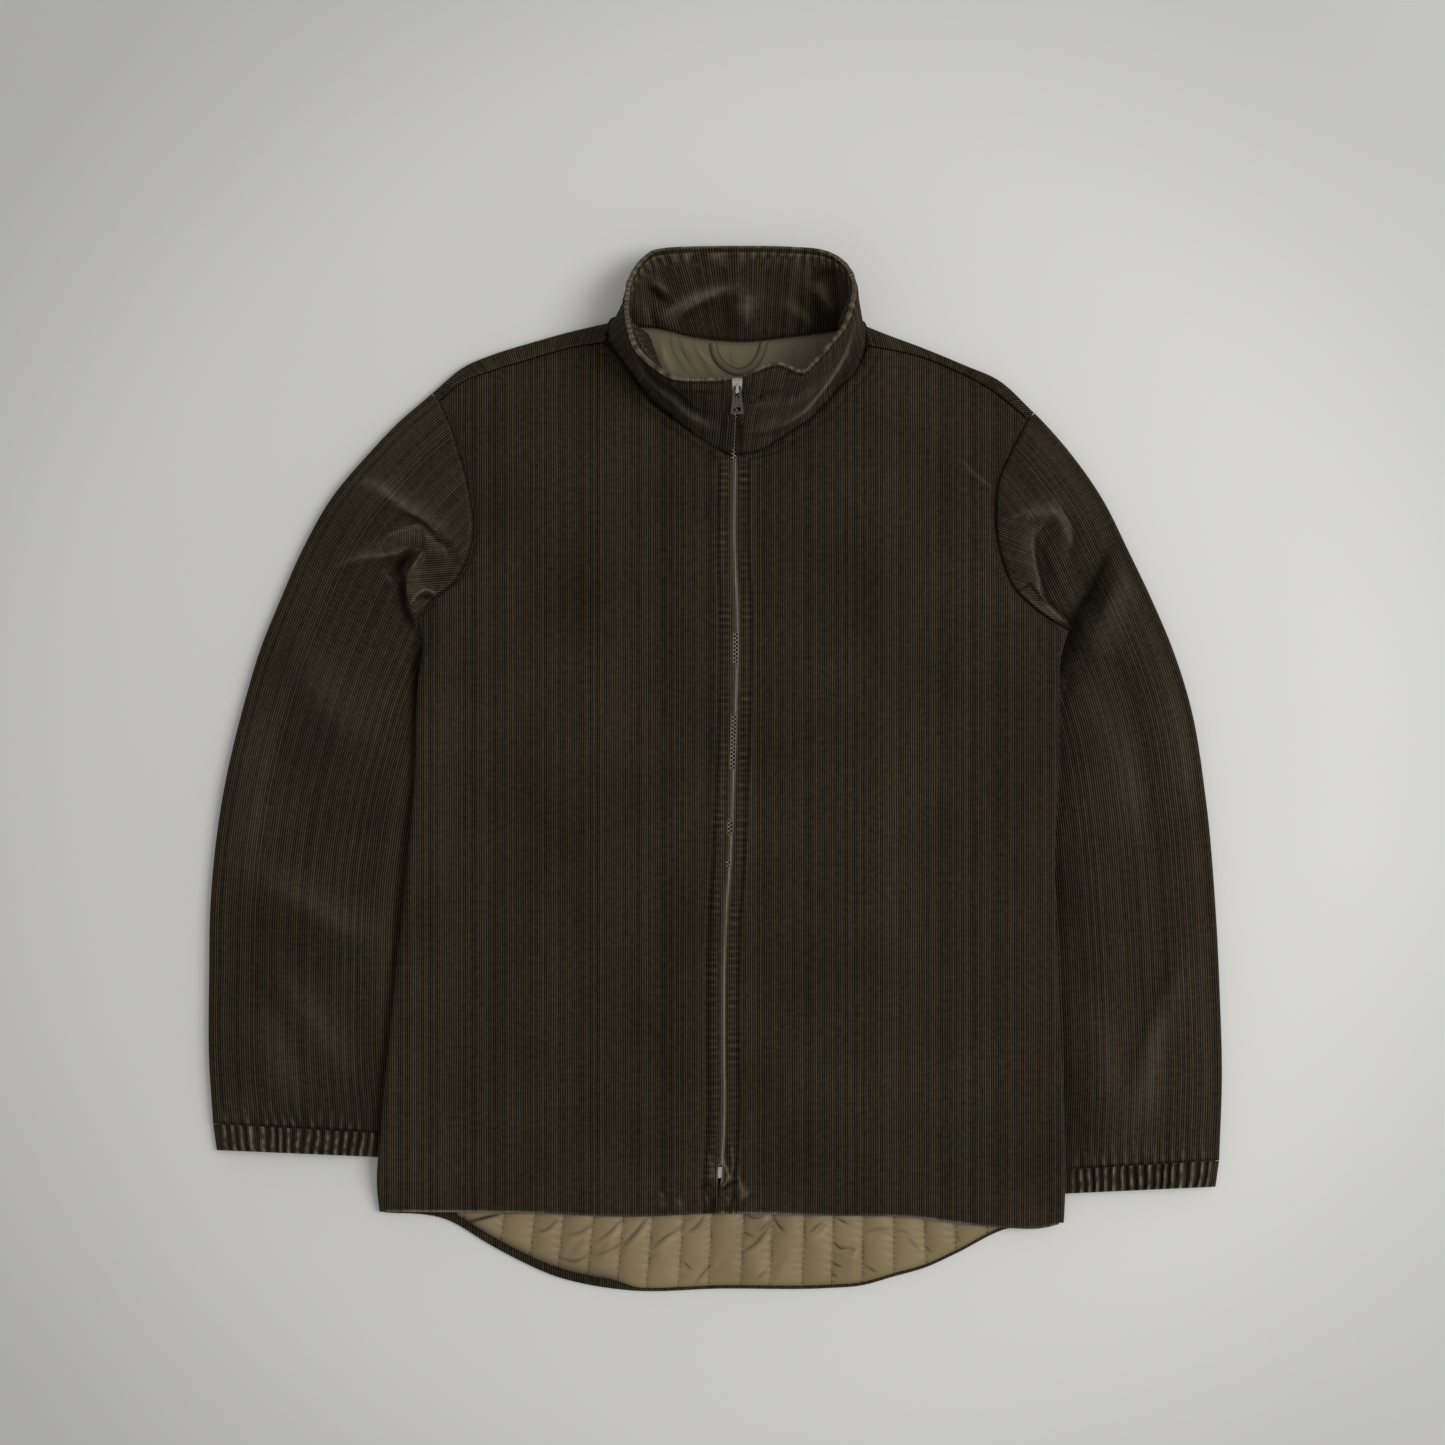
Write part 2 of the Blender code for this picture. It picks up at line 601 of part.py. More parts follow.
def collar_layer(name, near, far, colour):
    grid, normals = collar_grid()
    rim = np.ones(grid.shape[1])
    rim[-1] = 0.55
    rim[-2] = 0.85
    outer = grid + normals * (near + (far - near) * rim)[None, :, None]
    inner = grid + normals * near
    return cloth(name, outer.tolist(), inner.tolist(), colour)


def neck_lining():
    outer = []
    inner = []
    for i in range(13):
        x = -70 + 174 * i / 12
        low = (LEFT if x < 15 else RIGHT)["neck_y"](x) + 7
        high = back_neck_y(x) - 1.2
        spots = [(x, low + (high - low) * f) for f in (0, 0.34, 0.67, 1)]
        outer.append([(*spot, BODY_WALL + SEAM_GAP + LINING_WALL) for spot in spots])
        inner.append([(*spot, BODY_WALL + SEAM_GAP) for spot in spots])
    return cloth("neck_lining", outer, inner, LINING)


def hang_loop():
    line = path(((-2, 349.2), (1, 338), (9, 329), (19, 325.5), (29, 329), (36, 338), (40, 349.6)))
    floor = BODY_WALL + 2 * SEAM_GAP + LINING_WALL
    half = 3.0
    outer = []
    inner = []
    for i in range(19):
        t = i / 18
        along = unit(line(min(t + 0.02, 1)) - line(max(t - 0.02, 0)))
        side = np.array((-along[1], along[0])) * half
        spots = [line(t) + side * k for k in (-1, 0, 1)]
        outer.append([(*spot, floor + 1.1) for spot in spots])
        inner.append([(*spot, floor) for spot in spots])
    return cloth("hang_loop", outer, inner, LINING)


def tail_lining():
    # quilted channels that run up and down, raised over a plain underside
    first, last = -212.0, 236.0
    columns = 4 * round((last - first) / CHANNEL_PITCH)
    outer = []
    inner = []
    floor = BODY_WALL + SEAM_GAP
    for i in range(columns + 1):
        x = first + (last - first) * i / columns
        high = hem_y(x) + 14
        turned_in = 2.8 + 5.0 * step((-60 - x) / 30)
        low = tail_y(x) + turned_in
        channel = abs(math.sin(math.pi * (x - CHANNEL_START) / CHANNEL_PITCH)) ** 0.7
        line_out = []
        line_in = []
        for f in (0, 0.05, 0.15, 0.5, 0.75, 0.93, 1):
            y = high + (low - high) * f
            under_hem = step((y - hem_y(x) + 6) / 14)
            puff = CHANNEL_PUFF * channel * (1 - 0.45 * under_hem) * (0.3 + 0.7 * rise(y - low, 5))
            line_out.append((x, y, floor + LINING_WALL + puff))
            line_in.append((x, y, floor))
        outer.append(line_out)
        inner.append(line_in)
    return cloth("tail_lining", outer, inner, LINING)


def on_collar(level):
    # the line up the middle of the zip on the collar
    first, last = np.array(COLLAR[0]), np.array(COLLAR[-1])
    middle = (first + last) / 2
    return middle[:3] + (middle[3:] - middle[:3]) * level


def zip_chain():
    half_width, half_height = 2.2, 1.3
    centre = [np.array((zip_x(y), y, 9.4)) for y in np.linspace(-325.5, 250, 30)]
    centre += [on_collar(level) for level in (0.06, 0.16, 0.4, 0.6, 0.77)]
    rings = []
    for i, spot in enumerate(centre):
        along = unit(centre[min(i + 1, len(centre) - 1)] - centre[max(i - 1, 0)])
        up = unit(np.cross((1, 0, 0), along))
        corners = ((-1, -1), (1, -1), (1, 1), (-1, 1))
        rings.append([spot + np.array((a * half_width, 0, 0)) + up * b * half_height for a, b in corners])
    bm = bmesh.new()
    loops = [[bm.verts.new(settle(corner)) for corner in ring] for ring in rings]
    for low, high in zip(loops, loops[1:]):
        for k in range(4):
            bm.faces.new((low[k], low[(k + 1) % 4], high[(k + 1) % 4], high[k]))
    bm.faces.new(reversed(loops[0]))
    bm.faces.new(loops[-1])
    return new_piece("zip_chain", bm, DARK_METAL, 0.4, 1.0)


def block(bm, centre, size, taper=1.0):
    # a box whose +Y end is wider than its -Y end by the taper
    made = bmesh.ops.create_cube(bm, size=1.0)["verts"]
    for vertex in made:
        widen = taper if vertex.co.y > 0 else 1.0
        vertex.co = Vector((vertex.co.x * size[0] * widen + centre[0], vertex.co.y * size[1] + centre[1],
                            vertex.co.z * size[2] + centre[2])) * MM
    return made


def zip_box():
    bm = bmesh.new()
    spot = settle((zip_x(-331), -331, 9.6))
    block(bm, (spot.x / MM, spot.y / MM, 9.6), (4.6, 9.0, 3.4))
    bmesh.ops.bevel(bm, geom=bm.edges[:], offset=0.6 * MM, segments=2, affect="EDGES")
    return new_piece("zip_box", bm, BRIGHT_METAL, 0.35, 1.0)


def slider_frame():
    # x across, y up the collar, z out of it, with the origin on the pull tab's axis
    low = settle(on_collar(0.80))
    high = settle(on_collar(0.96))
    along = Vector((0, high.y - low.y, high.z - low.z)).normalized()
    outward = Vector((1, 0, 0)).cross(along).normalized()
    frame = Matrix((Vector((1, 0, 0)), along, outward)).transposed().to_4x4()
    frame.translation = low + (high - low) * 0.32 + outward * PIVOT_HEIGHT * MM
    return frame


SLIDER = {"width": 6.8, "length": 10.4, "height": 4.2, "taper": 1.2, "bail": 2.2}
PIVOT_HEIGHT = 3.9             # the pull tab's axis over the middle of the chain
TAB = {"length": 23.0, "top": 5.8, "bottom": 11.0, "thick": 1.3}


def hard_piece(name, bm, colour, roughness):
    thing = new_piece(name, bm, colour, roughness, 1.0)
    thing.matrix_world = slider_frame()
    return thing


def zip_slider():
    bm = bmesh.new()
    body_middle = -PIVOT_HEIGHT
    block(bm, (0, 1.9, body_middle), (SLIDER["width"], SLIDER["length"], SLIDER["height"]), SLIDER["taper"])
    bmesh.ops.bevel(bm, geom=bm.edges[:], offset=0.7 * MM, segments=2, affect="EDGES")
    slider = hard_piece("zip_slider", bm, BRIGHT_METAL, 0.3)
    # the bail: an arch over the pull tab's axis
    foot = body_middle + SLIDER["height"] / 2 - 0.6
    bm = bmesh.new()
    profile = ((-2.9, foot), (-2.9, 0.9), (-1.9, 2.3), (1.9, 2.3), (2.9, 0.9), (2.9, foot),
               (1.9, foot), (1.9, 0.6), (1.4, 1.3), (-1.4, 1.3), (-1.9, 0.6), (-1.9, foot))
    half = SLIDER["bail"] / 2
    sheets = [[bm.verts.new(Vector((x, y, z)) * MM) for y, z in profile] for x in (-half, half)]
    count = len(profile)
    for i in range(count):
        j = (i + 1) % count
        bm.faces.new((sheets[0][i], sheets[0][j], sheets[1][j], sheets[1][i]))
    for sheet in sheets:
        for i in range(5):
            bm.faces.new((sheet[i], sheet[i + 1], sheet[count - 2 - i], sheet[count - 1 - i]))
    bail = hard_piece("bail_cutter", bm, BRIGHT_METAL, 0.3)
    bail.hide_render = True
    bail.display_type = "WIRE"
    join = slider.modifiers.new("bail", "BOOLEAN")
    join.operation = "UNION"
    join.object = bail
    return slider


def zip_pull():
    # the tab hangs down the collar from a bar that passes through the bail
    bm = bmesh.new()
    bar_end = TAB["thick"] / 2
    middle = bar_end - TAB["length"] / 2
    block(bm, (0, middle, 0), (TAB["bottom"], TAB["length"], TAB["thick"]), TAB["top"] / TAB["bottom"])
    upright = [edge for edge in bm.edges if abs(edge.verts[0].co.z - edge.verts[1].co.z) > 0.5 * MM]
    bmesh.ops.bevel(bm, geom=upright, offset=0.6 * MM, segments=2, affect="EDGES")
    tab = hard_piece("zip_pull", bm, DARK_METAL, 0.35)
    for label, centre, size, taper in (("eye", -4.05, (3.2, 6.8, 4.0), 1.0),
                                       ("window", -17.6, (6.0, 3.6, 4.0), 0.86)):
        bm = bmesh.new()
        block(bm, (0, centre, 0), size, taper)
        cutter = hard_piece(label + "_cutter", bm, DARK_METAL, 0.35)
        cutter.hide_render = True
        cutter.display_type = "WIRE"
        cut = tab.modifiers.new(label, "BOOLEAN")
        cut.operation = "DIFFERENCE"
        cut.object = cutter
    return tab


back_panel()
front_panel("front_left", LEFT)
front_panel("front_right", RIGHT)
sleeve("sleeve_left", LEFT)
sleeve("sleeve_right", RIGHT)
cuff("cuff_left", LEFT)
cuff("cuff_right", RIGHT)
collar_layer("collar_outer", SEAM_GAP / 2, SEAM_GAP / 2 + COLLAR_WALL, CORDUROY)
collar_layer("collar_inner", -SEAM_GAP / 2, -SEAM_GAP / 2 - COLLAR_WALL, CORDUROY_INSIDE)
neck_lining()
hang_loop()
tail_lining()
zip_chain()
zip_box()
zip_slider()
zip_pull()
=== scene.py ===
import math

import bmesh
import bpy
import numpy as np
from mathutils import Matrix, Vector
from mathutils.bvhtree import BVHTree


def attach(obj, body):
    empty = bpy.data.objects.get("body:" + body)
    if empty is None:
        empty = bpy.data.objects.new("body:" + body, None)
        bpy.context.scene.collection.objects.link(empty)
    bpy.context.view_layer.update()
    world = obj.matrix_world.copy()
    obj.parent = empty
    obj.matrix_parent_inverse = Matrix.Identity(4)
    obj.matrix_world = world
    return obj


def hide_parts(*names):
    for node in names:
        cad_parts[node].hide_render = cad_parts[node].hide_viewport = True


# A padded corduroy jacket that lies flat, front up. Left and right are the viewer's.
# Tables hold millimetres as an eye straight above sees them, and settle() finds the true places.
# Crease tables hold pixels of the photograph, which photoPlace() turns into the same millimetres.

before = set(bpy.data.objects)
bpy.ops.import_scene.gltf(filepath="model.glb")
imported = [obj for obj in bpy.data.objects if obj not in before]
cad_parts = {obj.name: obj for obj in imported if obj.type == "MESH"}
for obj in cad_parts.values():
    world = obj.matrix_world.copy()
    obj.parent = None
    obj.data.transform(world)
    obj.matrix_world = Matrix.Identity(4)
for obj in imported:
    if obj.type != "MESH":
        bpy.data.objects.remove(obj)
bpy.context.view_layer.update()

photo = {"pixelSize": 0.82, "middle": (715.5, 768.5), "pixels": 1445}
eye = {"x": 5.7, "y": 37.7, "height": 1400.0}
origin = {"x": -0.2, "y": -2.05}
mm = 0.001

wall = {"body": 4.0, "sleeve": 2.7, "cuff": 2.3, "collar": 2.0, "lining": 1.0}
seamGap = 0.3
air = 1.2
bodyHeight = 2 * wall["body"] + air
foldRadius = bodyHeight / 2
sideRows = 18
armRows = 9
neckRows = 6
sleeveRows = 22
bodyRows = sideRows + armRows

zipLine = ((-366, 1.1), (-325, 4), (-282, 6.2), (-231, 5.7), (-157, 6.2), (-120, 7.5), (-72, 10.8),
           (-5, 13.5), (56, 15.6), (133, 16.3), (181, 14.3), (257, 14.9))
hemLine = ((-275.5, -363.5), (-160, -364.5), (-65, -367.5), (1, -365), (75, -366.5), (168, -369),
           (202, -373.5), (238, -376.8), (272, -376.3), (285.6, -372.5))
tailLine = ((-275.5, -363.5), (-217.7, -371), (-185.7, -390), (-159.5, -404), (-131.6, -416.2),
            (-102.9, -423.5), (-69.3, -428), (3.7, -426.5), (93, -426), (119.3, -424), (146.4, -416.5),
            (172.6, -409), (198, -397.3), (238.2, -377.6), (262, -374), (285.6, -372.5))
backNeckLine = ((-91, 350.2), (-90.4, 357.5), (-85.5, 362.3), (-75, 362.4), (-50, 361.8), (-18, 354.3),
                (22.5, 350.6), (60, 354.3), (94, 358.8), (108, 361.8), (117.5, 362.5), (122.8, 357.5),
                (124.2, 348))
leftSide = {
    "sign": -1, "hemFade": 40, "seamIn": -299.3, "seamOut": -291.3,
    "edge": ((-275.5, -363.5), (-277.6, -345), (-274.6, -297), (-266.9, -214), (-254.6, -93),
             (-246.4, 0), (-244.2, 70), (-240.5, 104), (-245, 122)),
    "arm": ((-245, 122), (-229.2, 140), (-213.2, 153), (-203.8, 170), (-198.3, 192),
            (-199.8, 217), (-204.6, 242), (-210.3, 261), (-216.3, 280), (-226.7, 301.4)),
    "neck": ((12, 255.8), (-4.4, 265.6), (-32.3, 284.5), (-56.2, 303.5), (-78.2, 335.2),
             (-91.4, 349.3)),
    "seam": ((-226.7, 301.4), (-209.8, 315.5), (-183.4, 326), (-153.3, 335.2), (-119.3, 344.8),
             (-91.4, 349.3)),
    "fold": ((-232.5, 307.5), (-204, 330.5), (-183.4, 339), (-153, 348.5), (-119, 358),
             (-87, 365.5)),
    "outer": ((-232.9, 307), (-262, 281.7), (-281.7, 261), (-316, 220), (-339, 179),
              (-357, 138), (-373.5, 97), (-385.8, 56), (-404.7, -26), (-414, -108),
              (-415.3, -170), (-415.3, -240), (-412, -291.3)),
    "cuffIn": -319, "cuffOut": (-409, -313),
    "middle": ((-343, -330), (-339, -170), (-323, 0), (-304, 122), (-284, 200), (-256, 310)),
}
rightSide = {
    "sign": 1, "hemFade": 24, "seamIn": -329.3, "seamOut": -321.3,
    "edge": ((285.6, -372.5), (286.7, -350), (285.4, -270), (281.7, -193), (279.2, -126),
             (278.4, -68), (281.5, 0), (282.3, 60), (284.5, 97), (290, 112.5)),
    "arm": ((290, 112.5), (275.4, 121), (259.5, 132.4), (244, 148), (234.7, 170),
            (230, 190.7), (229.2, 214), (230.7, 232.9), (240.9, 257.9), (256, 286.5)),
    "neck": ((17.8, 256.5), (37.3, 261.2), (58.6, 274.3), (78.3, 287.4), (99.6, 309.6),
             (116, 326.8), (125, 346.5)),
    "seam": ((256, 286.5), (222, 313), (196.4, 326), (168.3, 337.5), (140, 344), (125, 346.5)),
    "fold": ((261.2, 291.7), (230.4, 319.4), (205.9, 330), (168.3, 345.5), (140, 356),
             (123, 362.8)),
    "outer": ((261.7, 291.4), (271, 281.7), (289, 261), (317.8, 220), (338.3, 179),
              (357.9, 138), (375.2, 97), (388.3, 56), (402.2, -26), (409.6, -108),
              (413.7, -190), (415.3, -250), (413, -321.3)),
    "cuffIn": -349, "cuffOut": (410, -343),
    "middle": ((349, -360), (345, -190), (340, 0), (326, 120), (306, 200), (280, 310)),
}
# collar sections from the left zip edge round the neck: base x, y, z, then rim x, y, z
collarSections = (
    (12.0, 259.3, 10.5, 13.3, 321.3, 57), (-6, 269.3, 10.5, -3, 320, 57.5),
    (-29, 288.6, 10.5, -33, 321, 58), (-51, 308, 10.5, -50.5, 330.5, 58),
    (-72.5, 336, 10, -65, 344.5, 58), (-84, 352, 9, -71, 362.5, 57),
    (-83, 365.5, 6.5, -73, 380, 52), (-70, 364.2, 4, -70, 401.5, 43),
    (-48, 362.4, 2.9, -58, 420, 32), (-17, 355, 2.7, -40, 427, 24),
    (22.5, 351, 2.7, 22, 428.5, 19), (60, 355, 2.7, 66, 427.6, 23),
    (92, 359.6, 2.9, 90, 424.5, 31), (108, 363, 4, 106, 414.5, 42),
    (118.5, 364, 6.5, 113.5, 399, 51), (119.5, 350.5, 9, 112.5, 384, 56),
    (112, 327.5, 10, 106, 364.5, 58), (96.5, 311.5, 10.5, 94, 349, 58),
    (76, 290, 10.5, 80.8, 334.2, 57), (57, 277, 10.5, 70.5, 326.5, 57),
    (36, 263.5, 10.5, 50, 333, 58), (17.8, 259, 10.5, 23.3, 323.5, 57))
# the largest folds, as the solids have them: side, height, half width, places along the ridge
mainFolds = (
    (-1, 5.5, 13, (-290, 214), (-246, 187), (-216, 165)),
    (-1, 4.5, 11, (-266, 168), (-240, 184), (-216, 172)),
    (-1, -4.5, 12, (-262, 158), (-252, 142), (-250, 128)),
    (1, 5.5, 12, (247, 203), (264, 211), (286, 202), (289, 176)),
    (1, -5.0, 13, (324, 176), (310, 149), (290, 126)),
    (-1, 2.6, 16, (-370, -82), (-320, -110), (-268, -139)),
    (-1, 2.4, 16, (-352, -165), (-320, -212), (-292, -262)),
    (1, 2.8, 16, (385, -160), (358, -230), (340, -310)),
    (1, 2.0, 22, (121, 290), (206, 287), (236, 279)),
    (-1, 1.8, 24, (-150, 60), (-110, -60), (-120, -180)),
    (1, 1.8, 24, (170, 40), (130, -80), (140, -210)))


def step(value):
    value = np.clip(value, 0, 1)
    return value * value * (3 - 2 * value)


def rise(distance, width):
    return 1 - np.exp(-np.maximum(distance, 0) / width)


def bell(distance, width):
    return np.exp(-(distance / width) ** 2)


def smoothCurve(knots, rows):
    # a smooth curve through the rows, read at one knot value or at many
    knots = np.array(knots, float)
    rows = np.array(rows, float)
    slopes = np.gradient(rows, knots, axis=0)

    def at(place):
        place = np.clip(np.asarray(place, float), knots[0], knots[-1])
        i = np.clip(np.searchsorted(knots, place, side="right") - 1, 0, len(knots) - 2)
        width = knots[i + 1] - knots[i]
        s = (place - knots[i]) / width
        if rows.ndim > 1:
            s, width = s[..., None], width[..., None]
        ends = (1 + 2 * s) * (1 - s) ** 2 * rows[i] + s * s * (3 - 2 * s) * rows[i + 1]
        return ends + width * (s * (1 - s) ** 2 * slopes[i] - s * s * (1 - s) * slopes[i + 1])

    return at


def pathOf(rows):
    rows = np.array(rows, float)
    steps = np.linalg.norm(np.diff(rows, axis=0), axis=1)
    return smoothCurve(np.concatenate([[0], np.cumsum(steps)]) / steps.sum(), rows)


def graphOf(rows):
    rows = sorted(rows)
    return smoothCurve([row[0] for row in rows], [row[1] for row in rows])


def unitOf(vectors):
    vectors = np.asarray(vectors, float)
    return vectors / np.linalg.norm(vectors, axis=-1, keepdims=True)


def photoPlace(pixel):
    return np.array(((pixel[0] - photo["middle"][0]) * photo["pixelSize"],
                     (photo["middle"][1] - pixel[1]) * photo["pixelSize"]))


def settle(points):
    # seen from above, a point at height z lies nearer to the middle than it looks
    points = np.asarray(points, float)
    pull = 1 - points[..., 2] / eye["height"]
    true = np.empty_like(points)
    true[..., 0] = eye["x"] + (points[..., 0] - eye["x"]) * pull - origin["x"]
    true[..., 1] = eye["y"] + (points[..., 1] - eye["y"]) * pull - origin["y"]
    true[..., 2] = points[..., 2]
    return true * mm


zipX = smoothCurve([row[0] for row in zipLine], [row[1] for row in zipLine])
hemY = graphOf(hemLine)
tailY = graphOf(tailLine)
backNeck = pathOf(backNeckLine)
backNeckY = graphOf(backNeckLine)
for side in (leftSide, rightSide):
    for part in ("edge", "arm", "neck", "seam", "fold", "outer"):
        side[part + "Path"] = pathOf(side[part])
    side["edgeX"] = smoothCurve([row[1] for row in side["edge"]], [row[0] for row in side["edge"]])
    side["seamY"] = graphOf(side["seam"])
    side["neckY"] = graphOf(side["neck"])
    side["middleX"] = smoothCurve([row[1] for row in side["middle"]], [row[0] for row in side["middle"]])
    side["underarm"] = side["arm"][0][1]
    side["hem"] = side["edge"][0][1]


def sideLift(x, y):
    # the body's edges ride up on the sleeves that lie under them
    total = 0
    for side in (leftSide, rightSide):
        here = (x < eye["x"]) == (side is leftSide)
        inside = (x - side["edgeX"](y)) * -side["sign"]
        fade = step((y - side["hem"]) / side["hemFade"]) * step((side["underarm"] - 2 - y) / 30)
        total = total + here * 8.0 * step(1 - np.maximum(inside, 0) / 40.0) * fade
    return total


def nearPath(x, y, places, smooth=True):
    # the signed distance from each point to a line through the places, and how far along it
    places = np.array(places, float)
    if smooth and len(places) > 2:
        places = pathOf(places)(np.linspace(0, 1, 6 * len(places)))
    best = np.full(np.shape(x), 1e9)
    signed = np.zeros(np.shape(x))
    along = np.zeros(np.shape(x))
    for i in range(len(places) - 1):
        run = places[i + 1] - places[i]
        dx, dy = x - places[i][0], y - places[i][1]
        t = np.clip((dx * run[0] + dy * run[1]) / (run @ run), 0, 1)
        ox, oy = dx - t * run[0], dy - t * run[1]
        distance = np.hypot(ox, oy)
        closer = distance < best
        best = np.where(closer, distance, best)
        signed = np.where(closer, distance * np.sign(run[0] * oy - run[1] * ox), signed)
        along = np.where(closer, (i + t) / (len(places) - 1), along)
    return signed, along


def mainFoldHeight(x, y, sign):
    total = np.zeros(np.shape(x))
    for foldSign, height, width, *places in mainFolds:
        if foldSign == sign:
            signed, along = nearPath(x, y, places, smooth=False)
            total += height * bell(signed, width) * (0.35 + 0.65 * np.sin(np.pi * along))
    return total


def creaseHeight(x, y, creases):
    # each crease: height, half width on one side and on the other, pixels along it
    total = np.zeros(np.shape(x))
    for height, widthA, widthB, *pixels in creases:
        signed, along = nearPath(x, y, [photoPlace(pixel) for pixel in pixels])
        width = np.where(signed > 0, widthA, widthB)
        total += height * bell(signed, width) * np.sin(np.pi * np.clip(along, 0.02, 0.98)) ** 0.6
    return total


def softWaves(x, y, seed, size, count=7):
    # broad uneven undulation, about -1 to 1
    rng = np.random.default_rng(seed)
    x, y = np.broadcast_arrays(x, y)
    total = np.zeros(x.shape)
    for _ in range(count):
        angle = rng.uniform(0, np.pi)
        length = size * rng.uniform(0.7, 1.8)
        phase = rng.uniform(0, 2 * np.pi)
        total += np.sin((x * np.cos(angle) + y * np.sin(angle)) * 2 * np.pi / length + phase)
    return total / math.sqrt(count)


def bodyEdge(side, rows):
    edge = side["edgePath"](np.minimum(rows / sideRows, 1))
    arm = side["armPath"](np.maximum((rows - sideRows) / armRows, 0))
    return np.where((rows <= sideRows)[..., None], edge, arm)


def sideTurn(rows):
    # 1 down the side, where the wall folds under, and 0 round the armhole
    return 1 - step(rows - sideRows + 0.5)


def slotHalf(y):
    # half the space between the fronts at the zip, narrower below the bottom box
    return 2.9 - 2.0 * step((-350 - y) / 12)


def onLeftTail(x):
    # 1 on the tail's left part, where the back's edge turns up further over the lining
    return step((-60 - x) / 30)


def frontInner(side, rows):
    split = bodyRows - neckRows
    start, end = zipLine[0][0], side["neck"][0][1]
    y = start + (end - start) * np.minimum(rows / split, 1)
    along = np.stack((zipX(y) + side["sign"] * slotHalf(y), y), axis=-1)
    neck = side["neckPath"](np.maximum((rows - split) / neckRows, 0))
    return np.where((rows <= split)[..., None], along, neck)


def patchOf(left, right, bottom, top, u, v):
    # a surface patch between four edges that share their corners
    uu, vv = u[None, :, None], v[:, None, None]
    zero, one = np.array([0.0]), np.array([1.0])
    corners = ((1 - uu) * (1 - vv) * left(zero)[0] + uu * (1 - vv) * right(zero)[0]
               + (1 - uu) * vv * left(one)[0] + uu * vv * right(one)[0])
    return ((1 - uu) * left(v)[:, None] + uu * right(v)[:, None]
            + (1 - vv) * bottom(u)[None] + vv * top(u)[None] - corners)


def foldSteps(turn, start, edge, count):
    # the columns of a folded side: their places on the outer and inner face, their climb, their arc
    for i in range(1, count + 1):
        share = i / count
        angle = share * np.pi / 2
        reachOut = turn * math.sin(angle) + (1 - turn) * share
        reachIn = turn * math.sin(angle) * air / 2 / foldRadius + (1 - turn) * share
        at = start + (edge - start) * reachOut[:, None]
        atIn = start + (edge - start) * reachIn[:, None]
        yield at, atIn, turn * (1 - math.cos(angle)), foldRadius * angle


def pieceOf(name, mesh, sharp):
    # an object of the mesh, faces outward, smooth but where edges bend more than so many degrees
    bm = bmesh.new()
    bm.from_mesh(mesh)
    bmesh.ops.recalc_face_normals(bm, faces=bm.faces)
    bm.to_mesh(mesh)
    bm.free()
    mesh.shade_smooth()
    mesh.set_sharp_from_angle(angle=math.radians(sharp))
    piece = bpy.data.objects.new(name, mesh)
    bpy.context.scene.collection.objects.link(piece)
    return piece


def buildWall(name, outer, inner, uv, wearAndPaintedLight, present=None, closed=False):
    # a closed wall of cloth between two grids of points, with its own map in metres
    rows, columns = outer.shape[:2]
    last = columns if closed else columns - 1
    filled = np.ones((rows - 1, last), bool) if present is None else present[:, :last]
    row, column = np.nonzero(filled)
    after = (column + 1) % columns
    count = rows * columns
    ring = [row * columns + column, row * columns + after,
            (row + 1) * columns + after, (row + 1) * columns + column]
    ringUv = [(row, column), (row, column + 1), (row + 1, column + 1), (row + 1, column)]
    faces = [np.stack(ring, 1), np.stack(ring[::-1], 1) + count]
    maps = [np.stack([uv[a, b] for a, b in ringUv], 1), np.stack([uv[a, b] for a, b in ringUv[::-1]], 1)]
    padded = np.zeros((rows + 1, last + 2), bool)
    padded[1:rows, 1:last + 1] = filled
    if closed:
        padded[1:rows, 0] = filled[:, -1]
        padded[1:rows, last + 1] = filled[:, 0]
    beyond = [padded[row, column + 1], padded[row + 1, column + 2],
              padded[row + 2, column + 1], padded[row + 1, column]]
    for i in range(4):
        bare = ~beyond[i]
        a, b = ring[i][bare], ring[(i + 1) % 4][bare]
        faces.append(np.stack([b, a, a + count, b + count], 1))
        (ra, ca), (rb, cb) = ringUv[i], ringUv[(i + 1) % 4]
        mapA, mapB = uv[ra[bare], ca[bare]], uv[rb[bare], cb[bare]]
        maps.append(np.stack([mapB, mapA, mapA, mapB], 1))
    faces = np.concatenate(faces)
    maps = np.concatenate(maps)
    points = np.concatenate([settle(outer).reshape(-1, 3), settle(inner).reshape(-1, 3)])
    paintedLightAndWear = np.concatenate([wearAndPaintedLight.ravel(), wearAndPaintedLight.ravel()])
    used, faces = np.unique(faces, return_inverse=True)
    faces = faces.reshape(-1, 4)
    points, paintedLightAndWear = points[used], paintedLightAndWear[used]
    mesh = bpy.data.meshes.new(name)
    mesh.from_pydata(points.tolist(), [], faces.tolist())
    mesh.uv_layers.new(name="cut").data.foreach_set("uv", (maps * mm).astype(np.float32).ravel())
    # the attribute holds lightening from wear and painted highlights above 0, and painted shade below 0
    mesh.attributes.new("wearAndPaintedLight", "FLOAT", "POINT").data.foreach_set("value", paintedLightAndWear.astype(np.float32))
    piece = pieceOf(name, mesh, 60)
    print("made", name, 2 * len(faces), "triangles")
    return piece


def finishCloth(piece, node, material):
    piece.data.materials.append(material)
    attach(piece, "jacket")
    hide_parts(node)
    return piece


# shader parts that several materials share; add is the adder of nodes to one material's tree

def feed(tree, node, inputs):
    # links the sockets among the inputs and sets the values
    for key, value in inputs.items():
        if isinstance(value, bpy.types.NodeSocket):
            tree.links.new(value, node.inputs[key])
        else:
            node.inputs[key].default_value = value


def nodeAdder(tree):
    def add(kind, inputs=None, **settings):
        node = tree.nodes.new(kind)
        for key, value in settings.items():
            setattr(node, key, value)
        feed(tree, node, inputs or {})
        return node

    return add


